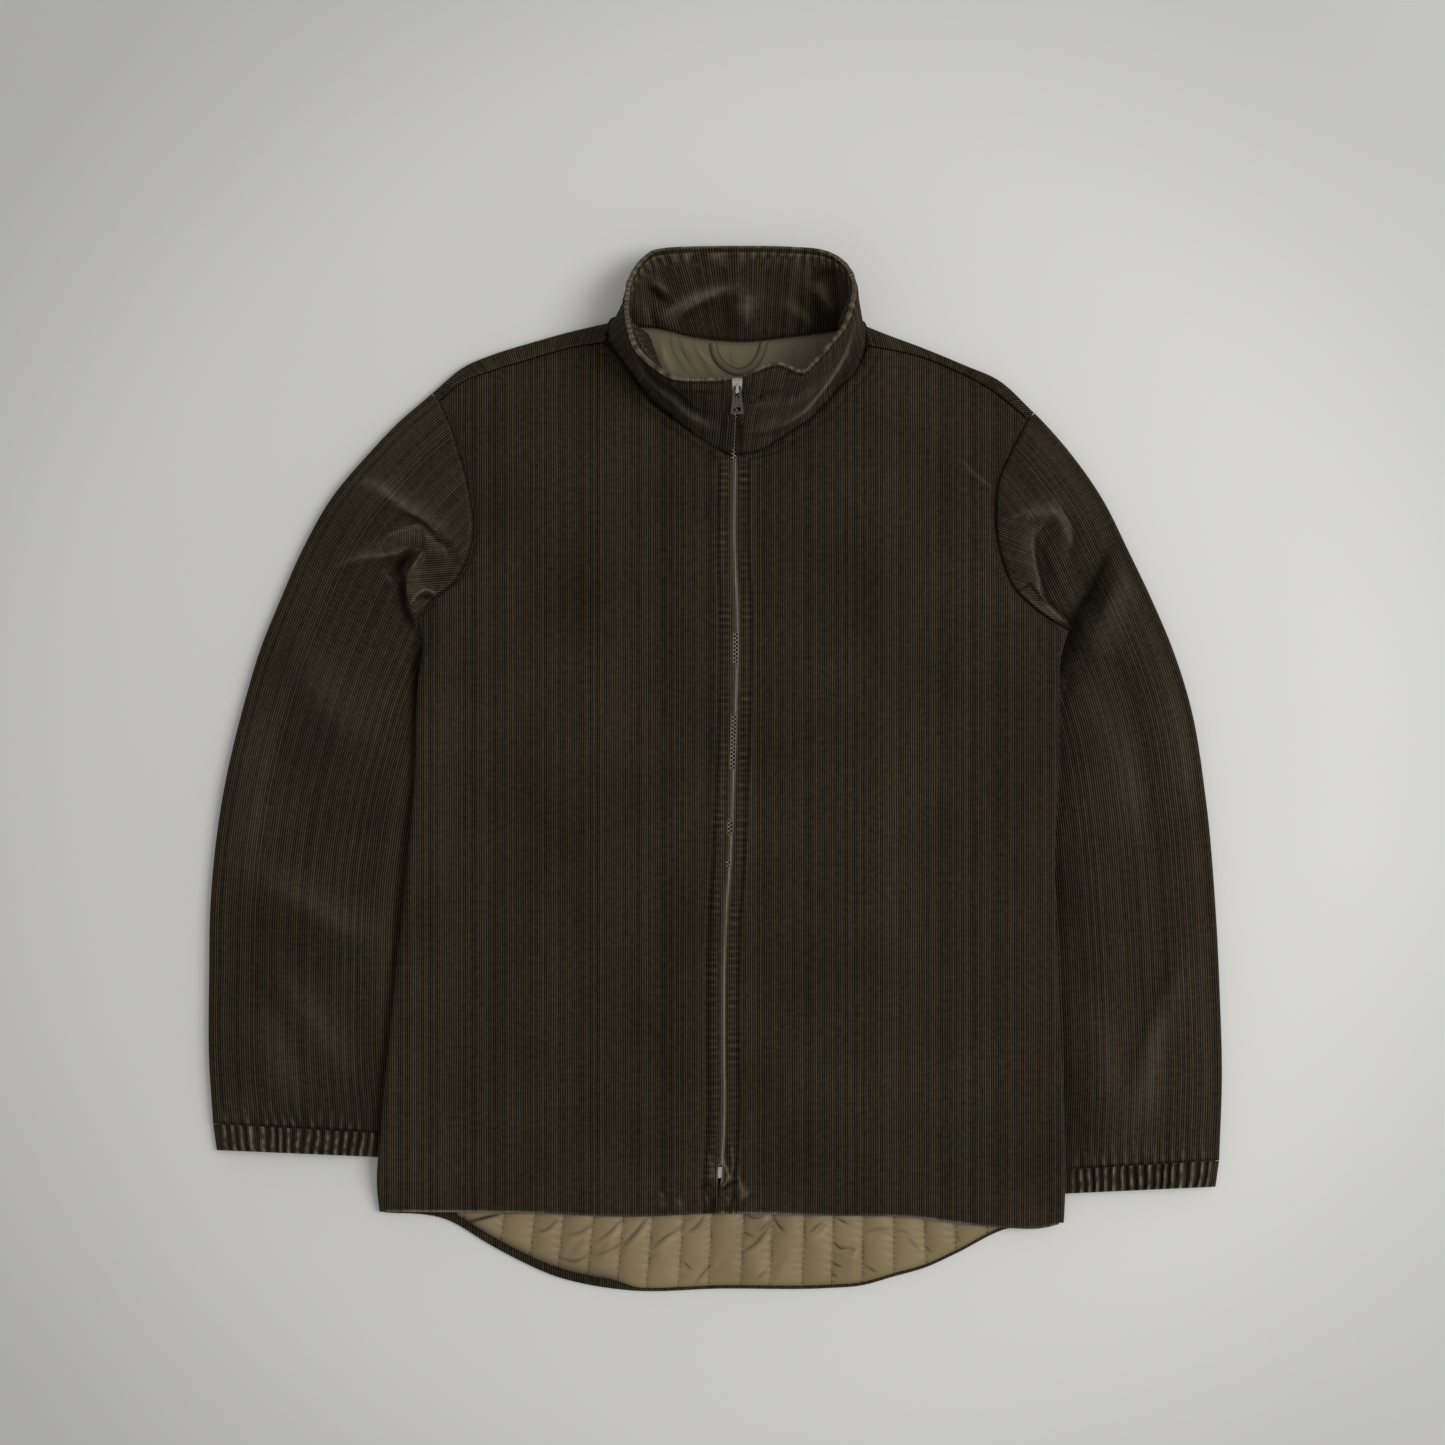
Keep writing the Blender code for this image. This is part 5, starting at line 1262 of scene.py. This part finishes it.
def makeCollar(name, node, outward, creases, material):
    grid, normals, levels, place = collarGrid()
    x, y = grid[..., 0], grid[..., 1]
    tall = np.linalg.norm(grid[:, -1] - grid[:, 0], axis=1)[:, None]
    toRim = (1 - levels[None, :]) * tall
    lengths = np.linalg.norm(np.diff(grid[:, len(levels) // 2], axis=0), axis=1)
    around = np.concatenate([[0], np.cumsum(lengths)])[:, None]
    ends = rise(around, 6) * rise(around[-1] - around, 6)
    rounded = np.sqrt(np.clip(1 - (1 - np.clip(toRim / 1.7, 0, 1)) ** 2, 0.04, 1))
    fade = rise(toRim, 9) * rise(levels[None, :] * tall, 9) * ends
    dents = creaseHeight(x, y, creases) * fade
    gather = np.sin(2 * np.pi * around / 7.4 + 1.8 * softWaves(around, toRim, 81, 30))
    gather = gather * np.exp(-np.maximum(toRim - collarLook["rimStitch"], 0) / 11) * step(toRim / 3)
    waves = 0.7 * softWaves(around, toRim * 0.7, 83 if outward > 0 else 84, 42) * fade
    stitch = -0.55 * bell(toRim - collarLook["rimStitch"], 1.0)
    lowSeam = -0.7 * bell(levels[None, :] * tall, 2.0)
    relief = collarLook["gather"] * gather * ends + dents + waves + stitch * ends + lowSeam
    plump = np.maximum((wall["collar"] + relief) * rounded, 0.35 * rounded)
    offset = seamGap / 2 + 0 * toRim
    if outward < 0:
        for middle, reach, far in collarLook["bulges"]:
            swell = bell(place - middle, reach)[:, None] * np.sin(np.pi * levels[None, :]) ** 1.2
            offset = offset + far * swell
    outer = grid + normals * (outward * (offset + plump))[..., None]
    inner = grid + normals * (outward * offset)[..., None]
    # the foot turns out over the neck seam, and the inner layer's turns in over the back's edge
    foot = collarLook["foot" if outward > 0 else "innerFoot"] * (1 - np.clip(levels / 0.08, 0, 1)) ** 2
    outer = outer + outward * normals * np.array((1, 1, 0)) * foot[None, :, None]
    maps = np.dstack((around + 0 * toRim, levels[None, :] * tall))
    # the rim is lighter from wear and painted highlight; painted shade in the rim's stitch groove and at the
    # collar's foot; painted light and shade on the gathers and dents
    ticks = 0.6 + 0.4 * np.sin(2 * np.pi * around / 2.6)
    paintedLightAndWear = 0.62 * bell(toRim, 1.0) * ticks - 0.6 * bell(toRim - collarLook["rimStitch"], 0.8) * ends
    paintedLightAndWear = paintedLightAndWear + creaseHeight(x, y, collarLook["outerPaintedLight" if outward > 0 else "innerPaintedLight"])
    paintedLightAndWear = paintedLightAndWear + 0.14 * gather * bell(toRim - 6, 4) * ends - 0.7 * bell(levels[None, :] * tall, 1.4)
    paintedLightAndWear = paintedLightAndWear + 0.07 * np.clip(dents, -4, 3)
    if outward < 0:
        # the gathers below the rim catch the light, and so does the edge beside the rim's stitching
        atBack = step((y - 380) / 15)
        paintedLightAndWear = paintedLightAndWear + 0.34 * np.clip(gather, 0, 1) * bell(toRim - 10, 7) * atBack
        paintedLightAndWear = paintedLightAndWear + 0.25 * bell(toRim - 5.2, 0.8) * ends
    piece = buildWall(name, outer, inner, maps, paintedLightAndWear)
    return finishCloth(piece, node, material)


makeCollar("collar_outer_cloth", "collar_outer", 1, collarLook["outerCreases"], shellCloth)
makeCollar("collar_inner_cloth", "collar_inner", -1, collarLook["innerCreases"], insideCloth)


# linings: at the back of the neck, and the quilted one on the drop tail

liningLook = {
    "neckCreases": (
        (1.6, 2.5, 5, (660, 345), (664, 360), (672, 372)), (-1.2, 2.5, 3, (672, 345), (684, 358), (700, 374)),
        (1.6, 2.5, 4, (690, 346), (704, 360), (716, 374)), (-1.2, 2.5, 3, (700, 346), (708, 356), (714, 366)),
        (0.6, 4, 4, (735, 350), (736, 362), (738, 372)), (-0.6, 3, 3, (792, 346), (794, 358), (796, 366)),
        (0.7, 5, 5, (812, 342), (816, 352), (820, 362))),
    "neckColumns": 150, "neckRows": 46, "tailRows": 50, "paintedLightStrength": 1.4,
    "channelPuff": 3.8, "pucker": 0.8, "turnUp": 5.0, "leanFrom": -381,
    "lean": ((-175, 0.12), (-100, 0.11), (0, 0.05), (130, 0.02), (175, -0.04)),
    "quiltPixels": (462, 502, 533, 562, 592, 622, 651, 682, 711, 743, 772, 804, 833, 863, 894, 925, 955, 987),
    "tailCreases": (
        (1.9, 3, 6, (600, 1262), (612, 1240), (624, 1222)),
        (-1.9, 2.5, 3, (604, 1272), (622, 1246), (646, 1220)),
        (1.6, 3, 5, (655, 1245), (672, 1230), (704, 1220)),
        (-1.8, 2.5, 3, (657, 1241), (672, 1231), (686, 1227)),
        (-1.6, 2.5, 3, (686, 1232), (698, 1224), (704, 1216)),
        (1.6, 4, 5, (640, 1278), (652, 1262), (668, 1252)),
        (-1.6, 2.5, 3, (741, 1252), (752, 1243), (762, 1234)),
        (1.8, 3, 5, (757, 1230), (766, 1223), (773, 1220)),
        (-1.8, 2.5, 2.5, (773, 1220), (779, 1226), (784, 1231)),
        (-1.8, 2.5, 3, (808, 1234), (818, 1229), (824, 1222)),
        (-1.6, 2, 2.5, (838, 1218), (844, 1222), (852, 1226)),
        (-1.8, 2, 3, (834, 1244), (840, 1248), (856, 1249)),
        (1.4, 3, 4, (836, 1252), (850, 1258), (862, 1256)),
        (-1.5, 3, 4, (566, 1258), (578, 1240), (590, 1226)),
        (-1.5, 3, 3, (868, 1240), (880, 1234), (892, 1236)),
        (-1.4, 4, 4, (700, 1284), (720, 1264), (738, 1250)),
        (1.4, 4, 5, (846, 1284), (854, 1262), (860, 1236)),
        (1.5, 4, 5, (775, 1284), (786, 1262), (800, 1250)),
        (-1.4, 3, 4, (676, 1286), (684, 1270), (698, 1258)),
        (1.3, 4, 4, (742, 1286), (756, 1276), (770, 1274))),
    # painted shade and highlights of the linings' creases, with painted shadow under the front's hem on the
    # tail
    "neckPaintedLight": (
        (-0.70, 0.9, 0.9, (670, 334), (673, 351), (682, 366), (690, 376)),
        (-0.75, 0.9, 0.9, (678, 336), (684, 353), (698, 375)),
        (-0.60, 0.9, 0.9, (692, 343), (702, 359), (714, 370)),
        (0.30, 2.0, 2.0, (662, 336), (666, 352), (676, 370)),
        (0.30, 2.0, 2.0, (687, 340), (694, 356), (706, 374)),
        (-0.30, 0.8, 0.8, (730, 344), (731, 358), (734, 368)),
        (-0.25, 0.8, 0.8, (794, 342), (793, 356), (795, 366)),
        (-0.30, 1.2, 1.2, (819, 336), (818, 350), (822, 360))),
    "tailPaintedLight": (
        (-0.50, 0.9, 0.9, (566, 1236), (581, 1232), (595, 1221)),
        (-0.60, 0.9, 0.9, (596, 1243), (612, 1230), (625, 1216)),
        (-0.45, 0.9, 0.9, (592, 1257), (610, 1250), (624, 1242)),
        (-0.50, 1.2, 1.2, (558, 1257), (575, 1261), (593, 1251)),
        (-0.70, 1.0, 1.0, (623, 1246), (637, 1231), (649, 1216)),
        (-0.65, 0.9, 0.9, (652, 1249), (667, 1236), (685, 1227)),
        (-0.60, 1.0, 1.0, (686, 1234), (697, 1226), (705, 1215)),
        (-0.60, 0.9, 0.9, (695, 1284), (705, 1271), (713, 1263)),
        (-0.65, 0.9, 0.9, (742, 1253), (757, 1242), (771, 1223)),
        (-0.65, 0.8, 0.8, (759, 1232), (766, 1224), (774, 1219)),
        (-0.75, 0.9, 0.9, (774, 1217), (779, 1226), (785, 1232)),
        (-0.60, 0.8, 0.8, (743, 1232), (754, 1237)), (-0.60, 1.2, 1.2, (744, 1214), (756, 1218), (766, 1215)),
        (-0.50, 0.9, 0.9, (756, 1280), (768, 1268)), (-0.60, 1.0, 1.0, (683, 1261), (688, 1266), (692, 1270)),
        (-0.55, 1.2, 1.2, (537, 1232), (546, 1230), (558, 1219)),
        (-0.70, 0.9, 0.9, (808, 1234), (814, 1229), (822, 1221)),
        (-0.75, 0.9, 0.9, (837, 1218), (842, 1221), (848, 1224)),
        (-0.80, 0.9, 0.9, (833, 1241), (840, 1248), (848, 1248)),
        (-0.30, 0.9, 0.9, (848, 1248), (853, 1249), (858, 1250)),
        (-0.75, 0.9, 0.9, (832, 1262), (837, 1265), (842, 1267)),
        (-0.60, 0.9, 0.9, (831, 1272), (834, 1275), (838, 1278)),
        (-0.55, 0.9, 0.9, (865, 1265), (871, 1269), (878, 1273)),
        (-0.30, 1.2, 1.2, (866, 1233), (877, 1229), (892, 1229)),
        (-0.25, 1.2, 1.2, (896, 1230), (903, 1231), (911, 1234)),
        (-0.30, 1.4, 1.4, (906, 1236), (913, 1243), (920, 1251)),
        (-0.45, 0.9, 0.9, (925, 1246), (928, 1249), (932, 1252)),
        (-0.30, 0.9, 0.9, (956, 1232), (958, 1238), (961, 1243)),
        (-0.95, 1.4, 1.4, (467, 1222), (480, 1219), (492, 1216), (505, 1213)),
        (-0.80, 1.0, 1.0, (506, 1213), (521, 1212), (536, 1212)),
        (0.22, 1.6, 1.6, (600, 1246), (616, 1234), (630, 1220)),
        (0.20, 1.6, 1.6, (541, 1236), (550, 1233), (562, 1222)),
        (0.22, 1.6, 1.6, (628, 1250), (642, 1235), (654, 1221)),
        (0.20, 1.6, 1.6, (657, 1252), (672, 1240), (690, 1231)),
        (0.20, 1.6, 1.6, (748, 1255), (762, 1246), (776, 1228)),
        (0.20, 1.6, 1.6, (810, 1241), (823, 1233), (831, 1224)),
        (0.18, 1.6, 1.6, (570, 1241), (584, 1237), (598, 1227))),
    "neckCut": {"flat": (0.175, 0.099), "area": 0.0119}, "tailCut": {"flat": (0.47, 0.077), "area": 0.0272},
}


def makeNeckLining(name):
    x = np.linspace(-70, 104, liningLook["neckColumns"])
    low = np.where(x < 15, leftSide["neckY"](x), rightSide["neckY"](x)) + 7
    high = backNeckY(x) - 1.2
    share = np.linspace(0, 1, liningLook["neckRows"])[None, :]
    y = low[:, None] + (high - low)[:, None] * share
    x = np.repeat(x[:, None], share.shape[1], axis=1)
    fade = np.sin(np.pi * np.clip(share, 0.02, 0.98)) ** 0.3
    detail = creaseHeight(x, y, liningLook["neckCreases"]) + 0.5 * softWaves(x, y * 0.5, 91, 36)
    detail = np.maximum(detail * fade, -0.35)
    floor = wall["body"] + seamGap
    outer = np.dstack((x, y, floor + wall["lining"] + detail))
    inner = np.dstack((x, y, np.full_like(x, floor)))
    # painted shade and highlights of the creases, and painted shade along the top edge under the collar
    paintedLightAndWear = creaseHeight(x, y, liningLook["neckPaintedLight"]) - 0.7 * bell(y - high[:, None], 2.2)
    piece = buildWall(name, outer, inner, np.dstack((x, y)), paintedLightAndWear)
    return finishCloth(piece, "neck_lining", shadedNeckCloth)


def quiltLean(x, y):
    # how far a quilt line stands off its own place at a height, since the lines lean
    return np.interp(x, *zip(*liningLook["lean"])) * (y - liningLook["leanFrom"])


def quiltDistance(x):
    lines = np.array([photoPlace((pixel, 0))[0] for pixel in liningLook["quiltPixels"]])
    lines = np.concatenate([[lines[0] - 28], lines, [lines[-1] + 25]])
    i = np.clip(np.searchsorted(lines, x) - 1, 0, len(lines) - 2)
    left, right = lines[i], lines[i + 1]
    share = (x - left) / (right - left)
    return share, np.minimum(np.abs(x - left), np.abs(right - x))


def makeTailLining(name):
    x = np.linspace(-212.0, 236.0, 300)
    high = hemY(x) + 14
    low = tailY(x) + (2.8 + liningLook["turnUp"] * onLeftTail(x))
    share = np.concatenate([np.linspace(0, 0.9, liningLook["tailRows"]), [0.93, 0.955, 0.975, 0.99, 1]])
    share = share[None, :]
    y = high[:, None] + (low - high)[:, None] * share
    x = np.repeat(x[:, None], share.shape[1], axis=1)
    portion, toStitch = quiltDistance(x - quiltLean(x, y))
    channel = np.sin(np.pi * np.clip(portion, 0, 1)) ** 0.7
    toEdge = y - low[:, None]
    underHem = step((y - hemY(x) + 6) / 14)
    puff = liningLook["channelPuff"] * channel * (1 - 0.45 * underHem) * (0.3 + 0.7 * rise(toEdge, 5))
    pucker = liningLook["pucker"] * np.sin(2 * np.pi * y / 6.5 + 2 * softWaves(x, y, 93, 30))
    pucker = pucker * np.exp(-toStitch / 4.5)
    creases = creaseHeight(x, y, liningLook["tailCreases"]) + 0.55 * softWaves(x, y, 95, 32)
    detail = (creases + pucker) * (1 - underHem) * rise(toEdge, 4) * (0.35 + 0.65 * channel)
    floor = wall["body"] + seamGap
    outer = np.dstack((x, y, np.maximum(floor + wall["lining"] + puff + detail, floor + 0.5)))
    inner = np.dstack((x, y, np.full_like(x, floor)))
    broken = 0.55 + 0.45 * np.sin(2 * np.pi * y / 4.1 + 1.5 * softWaves(x, y, 97, 20))
    # darker along the quilt lines; painted shade along the lower edge, more where the left part curls down,
    # and painted shadow under the front's hem; painted light and shade of the creases
    paintedLightAndWear = -0.7 * bell(toStitch, 0.9) * broken - 0.35 * bell(toEdge, 2.0)
    paintedLightAndWear = paintedLightAndWear - 0.5 * bell(toEdge, 5.0) * onLeftTail(x)
    paintedLightAndWear = paintedLightAndWear + liningLook["paintedLightStrength"] * creaseHeight(x, y, liningLook["tailPaintedLight"])
    paintedLightAndWear = paintedLightAndWear - 0.5 * underHem * bell(y - hemY(x), 1.6)
    piece = buildWall(name, outer, inner, np.dstack((x, y)), paintedLightAndWear)
    return finishCloth(piece, "tail_lining", tailCloth)


makeNeckLining("neck_lining_cloth")
tailLining = makeTailLining("tail_lining_cloth")


# the hang loop, a folded strip stitched under the collar seam

loopLook = {
    "places": ((-2, 349.2), (1, 338), (9, 329), (19, 325.5), (29, 329), (36, 338), (40, 349.6)),
    "half": 3.0, "rows": 60, "mapLength": 66, "cut": {"flat": (0.0135, 0.067), "area": 0.00045},
}


def makeHangLoop(name):
    line = pathOf(loopLook["places"])
    t = np.linspace(0, 1, loopLook["rows"])
    along = unitOf(line(np.minimum(t + 0.02, 1)) - line(np.maximum(t - 0.02, 0)))
    side = np.stack((-along[:, 1], along[:, 0]), -1) * loopLook["half"]
    share = np.linspace(-1, 1, 7)
    spot = line(t)[:, None] + side[:, None] * share[None, :, None]
    floor = wall["body"] + 2 * seamGap + wall["lining"] + 0.35
    crown = 1.1 - 0.35 * np.abs(share) ** 3 - 0.22 * bell(np.abs(share) - 0.72, 0.14)
    outer = np.dstack((spot, floor + np.repeat(crown[None], len(t), axis=0)))
    inner = np.dstack((spot, np.full(spot.shape[:2], floor)))
    run = t[:, None] * loopLook["mapLength"] + 0 * share[None, :]
    maps = np.dstack((np.repeat(share[None] * loopLook["half"], len(t), axis=0), run))
    # painted shade along the loop's rounded edges
    paintedLightAndWear = -0.95 * np.abs(np.repeat(share[None], len(t), axis=0)) ** 2.5
    piece = buildWall(name, outer, inner, maps, paintedLightAndWear)
    return finishCloth(piece, "hang_loop", webCloth)


makeHangLoop("hang_loop_cloth")
print("soft pieces done")


# the zip: two staggered rows of teeth on their tapes

def clearSelection():
    for thing in bpy.context.selected_objects:
        thing.select_set(False)


def takeShape(thing):
    # the points and faces of a modelled object, which is then removed
    points = np.array([vertex.co[:] for vertex in thing.data.vertices])
    faces = [list(face.vertices) for face in thing.data.polygons]
    bpy.data.objects.remove(thing, do_unlink=True)
    return points, faces


def modelTooth(length, width, height):
    # one metal tooth, from a cube that is narrowed and dimpled at its nose
    clearSelection()
    bpy.ops.mesh.primitive_cube_add(size=1.0, location=(0, 0, 0))
    tooth = bpy.context.active_object
    tooth.scale = (length, width, height)
    bpy.ops.object.transform_apply(location=True, rotation=True, scale=True)
    bpy.ops.object.mode_set(mode="EDIT")
    bpy.ops.mesh.select_all(action="DESELECT")
    bm = bmesh.from_edit_mesh(tooth.data)
    for face in bm.faces:
        face.select = face.normal.x > 0.9
    bmesh.update_edit_mesh(tooth.data)
    bpy.ops.mesh.inset(thickness=min(width, height) * 0.22, depth=length * 0.12)
    bpy.ops.object.mode_set(mode="OBJECT")
    bevel = tooth.modifiers.new("rounding", "BEVEL")
    bevel.width = min(width, height) * 0.14
    bevel.segments = 1
    bpy.ops.object.modifier_apply(modifier=bevel.name)
    return takeShape(tooth)


def joinCopies(name, shape, places):
    # copies of one shape, each given by its place and its three axes, as one mesh
    points, faces = shape
    allPoints, allFaces = [], []
    for spot, axes in places:
        start = len(allPoints)
        allPoints.extend((np.asarray(spot) + points @ np.asarray(axes)).tolist())
        allFaces.extend([[start + i for i in face] for face in faces])
    mesh = bpy.data.meshes.new(name)
    mesh.from_pydata(allPoints, [], allFaces)
    piece = pieceOf(name, mesh, 40)
    print("made", name, "of", len(places), "copies")
    return piece


zipLook = {"pitch": 3.2, "tooth": (0.0021, 0.0013, 0.0015), "stagger": 0.00075, "height": 9.6,
           "collarEnd": 0.77, "collarSink": 2.8, "tapeHalf": 2.15, "tapeThick": 0.0005, "tapeSag": 0.00095,
           "tapeCut": {"flat": (0.010, 0.63), "area": 0.0030}}


def zipMiddle():
    # true places along the middle of the chain, from the box up to the slider
    flat = np.linspace(-325.5, 250, 300)
    spots = np.column_stack((zipX(flat), flat, np.full_like(flat, zipLook["height"])))
    first, final = np.array(collarSections[0]), np.array(collarSections[-1])
    middle = (first + final) / 2
    middle[[1, 4]] += zipLook["collarSink"]
    levels = np.linspace(0.06, zipLook["collarEnd"], 24)[:, None]
    up = middle[:3] + (middle[3:] - middle[:3]) * levels
    return settle(np.concatenate([spots, up]))


def evenly(points, spacing):
    lengths = np.concatenate([[0], np.cumsum(np.linalg.norm(np.diff(points, axis=0), axis=1))])
    at = np.arange(spacing / 2, lengths[-1], spacing)
    spots = np.column_stack([np.interp(at, lengths, points[:, k]) for k in range(3)])
    ahead = np.column_stack([np.interp(at + spacing / 2, lengths, points[:, k]) for k in range(3)])
    behind = np.column_stack([np.interp(at - spacing / 2, lengths, points[:, k]) for k in range(3)])
    return spots, unitOf(ahead - behind)


def makeTeeth(name):
    shape = modelTooth(*zipLook["tooth"])
    spots, along = evenly(zipMiddle(), zipLook["pitch"] * mm / 2)
    places = []
    for i, (spot, way) in enumerate(zip(spots, along)):
        hand = 1 if i % 2 else -1
        across = unitOf(np.cross(way, (0, 0, 1)) if abs(way[2]) < 0.95 else (1, 0, 0))
        up = np.cross(across, way)
        axes = np.array([-hand * across, way, up])
        places.append((spot + hand * across * zipLook["stagger"], axes))
    piece = joinCopies(name, shape, places)
    piece.data.materials.append(darkMetal)
    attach(piece, "jacket")
    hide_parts("zip_chain")
    return piece


def makeTape(name):
    points = zipMiddle()[::2]
    along = unitOf(np.gradient(points, axis=0))
    across = unitOf(np.cross(along, np.array((0, 0, 1.0))))
    up = np.cross(across, along)
    half = zipLook["tapeHalf"] * mm
    share = np.linspace(-1, 1, 9)
    bm = bmesh.new()
    grids = []
    for drop in (0.0, zipLook["tapeThick"]):
        grid = points[:, None] + across[:, None] * (share * half)[None, :, None]
        grid = grid + up[:, None] * (-drop - zipLook["tapeSag"])
        grids.append([[bm.verts.new(p) for p in row] for row in grid])
    rows, columns = len(points), len(share)
    for r in range(rows - 1):
        for c in range(columns - 1):
            for k, grid in enumerate(grids):
                ring = (grid[r][c], grid[r][c + 1], grid[r + 1][c + 1], grid[r + 1][c])
                bm.faces.new(ring if k == 0 else ring[::-1])
        for c in (0, columns - 1):
            bm.faces.new((grids[0][r][c], grids[0][r + 1][c], grids[1][r + 1][c], grids[1][r][c]))
    for r in (0, rows - 1):
        for c in range(columns - 1):
            bm.faces.new((grids[0][r][c], grids[0][r][c + 1], grids[1][r][c + 1], grids[1][r][c]))
    layer = bm.loops.layers.uv.new("cut")
    for face in bm.faces:
        for loop in face.loops:
            loop[layer].uv = (loop.vert.co.x, loop.vert.co.y)
    mesh = bpy.data.meshes.new(name)
    bm.to_mesh(mesh)
    bm.free()
    piece = pieceOf(name, mesh, 50)
    piece.data.materials.append(tapeCloth)
    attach(piece, "jacket")
    return piece


makeTeeth("zip_teeth")
makeTape("zip_tape")


# sewing

def modelStitch(length, thick):
    clearSelection()
    bpy.ops.mesh.primitive_uv_sphere_add(segments=6, ring_count=4, radius=0.5, location=(0, 0, 0))
    stitch = bpy.context.active_object
    stitch.scale = (thick, length, thick)
    bpy.ops.object.transform_apply(location=True, rotation=True, scale=True)
    return takeShape(stitch)


def sew(name, piece, lines, material, pitch=3.0, length=2.3, thick=0.42, sink=0.1):
    # stitches laid on the piece's top along lines of places as the eye sees them
    tree = BVHTree.FromPolygons([vertex.co[:] for vertex in piece.data.vertices],
                                [list(face.vertices) for face in piece.data.polygons])
    shape = modelStitch(length * mm, thick * mm)
    places = []
    for line in lines:
        line = np.asarray(line, float)
        fine = pathOf(line)(np.linspace(0, 1, 12 * len(line)))
        flat = settle(np.column_stack((fine, np.full(len(fine), 12.0))))
        spots, along = evenly(flat, pitch * mm)
        for spot, way in zip(spots, along):
            hit, normal, _, _ = tree.ray_cast(Vector((spot[0], spot[1], 0.2)), Vector((0, 0, -1)))
            if hit is None:
                continue
            up = np.array(normal)
            way = unitOf(way - up * (way @ up))
            places.append((np.array(hit) - up * sink * mm, np.array([np.cross(way, up), way, up])))
    sewn = joinCopies(name, shape, places)
    sewn.data.materials.append(material)
    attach(sewn, "jacket")
    return sewn


def zipStitchLine(side):
    y = np.linspace(-362, 250, 60)
    return np.column_stack((zipX(y) + side["sign"] * (slotHalf(y) + frontLook["stitchInset"]), y))


def quiltLines():
    lines = []
    for pixel in liningLook["quiltPixels"]:
        x = photoPlace((pixel, 0))[0]
        high = float(hemY(x)) - 1.0
        low = float(tailY(x)) + 4.0 + liningLook["turnUp"] * float(onLeftTail(x))
        if high - low > 8:
            down = np.linspace(high, low, 6)
            lines.append(np.column_stack((x + quiltLean(x, down), down)))
    return lines


sew("stitches_left", frontLeft, [zipStitchLine(leftSide)], shellThread)
sew("stitches_right", frontRight, [zipStitchLine(rightSide)], shellThread)
sew("stitches_tail", tailLining, quiltLines(), liningThread, pitch=3.2, length=2.4)
print("sewing done")


# the hard nodes keep their shape and get a better metal

for node, material in (("zip_slider", brightMetal), ("zip_pull", pullMetal), ("zip_box", brightMetal)):
    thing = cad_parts[node]
    thing.data.materials.clear()
    thing.data.materials.append(material)


# stage, light and camera

stageLook = {"floorSize": 6.0, "floor": (0.76, 0.758, 0.735), "world": 0.42, "bright": 0.5, "dim": 0.8,
             "cornerShade": 0.8}
lights = {"key": {"place": (1.85, 0.25, 2.2), "size": 1.5, "power": 42.0}}


def makeStage():
    clearSelection()
    bpy.ops.mesh.primitive_plane_add(size=stageLook["floorSize"], location=(0, 0, -0.0002))
    floor = bpy.context.active_object
    floor.name = "floor"
    material, add = newMaterial("paperFloor", stageLook["floor"])
    place = add("ShaderNodeTexCoord").outputs["Object"]
    base = blend(add, noise(add, place, 3.0, 3.0), times(stageLook["floor"], 0.98),
                 times(stageLook["floor"], 1.02))
    # the floor's colour darkens towards its corners: painted shade
    far = add("ShaderNodeVectorMath", {0: place}, operation="LENGTH").outputs["Value"]
    dim = add("ShaderNodeMapRange", {0: far, 1: stageLook["bright"], 2: stageLook["dim"], 3: 1.0,
                                     4: stageLook["cornerShade"]}, interpolation_type="SMOOTHSTEP").outputs[0]
    floor.data.materials.append(finishMaterial(material, {
        "Base Color": scaled(add, base, dim), "Roughness": 0.85, "Specular IOR Level": 0.15}))
    world = bpy.data.worlds.new("studio")
    world.use_nodes = True
    feed(world.node_tree, world.node_tree.nodes["Background"], {
        "Color": (1, 0.995, 0.985, 1), "Strength": stageLook["world"]})
    bpy.context.scene.world = world
    for name, light in lights.items():
        lamp = bpy.data.lights.new(name, "AREA")
        lamp.size = light["size"]
        lamp.energy = light["power"]
        holder = bpy.data.objects.new(name, lamp)
        holder.location = light["place"]
        holder.rotation_euler = (-Vector(light["place"])).to_track_quat("-Z", "Y").to_euler()
        bpy.context.scene.collection.objects.link(holder)


def makeCamera():
    lens = bpy.data.cameras.new("camera")
    lens.sensor_width = 36
    lens.lens = 36 * eye["height"] / (photo["pixels"] * photo["pixelSize"])
    lens.clip_start, lens.clip_end = 0.05, 20
    holder = bpy.data.objects.new("camera", lens)
    holder.location = ((eye["x"] - origin["x"]) * mm, (eye["y"] - origin["y"]) * mm, eye["height"] * mm)
    bpy.context.scene.collection.objects.link(holder)
    bpy.context.scene.camera = holder
    bpy.context.scene.view_settings.view_transform = "Standard"


makeStage()
makeCamera()
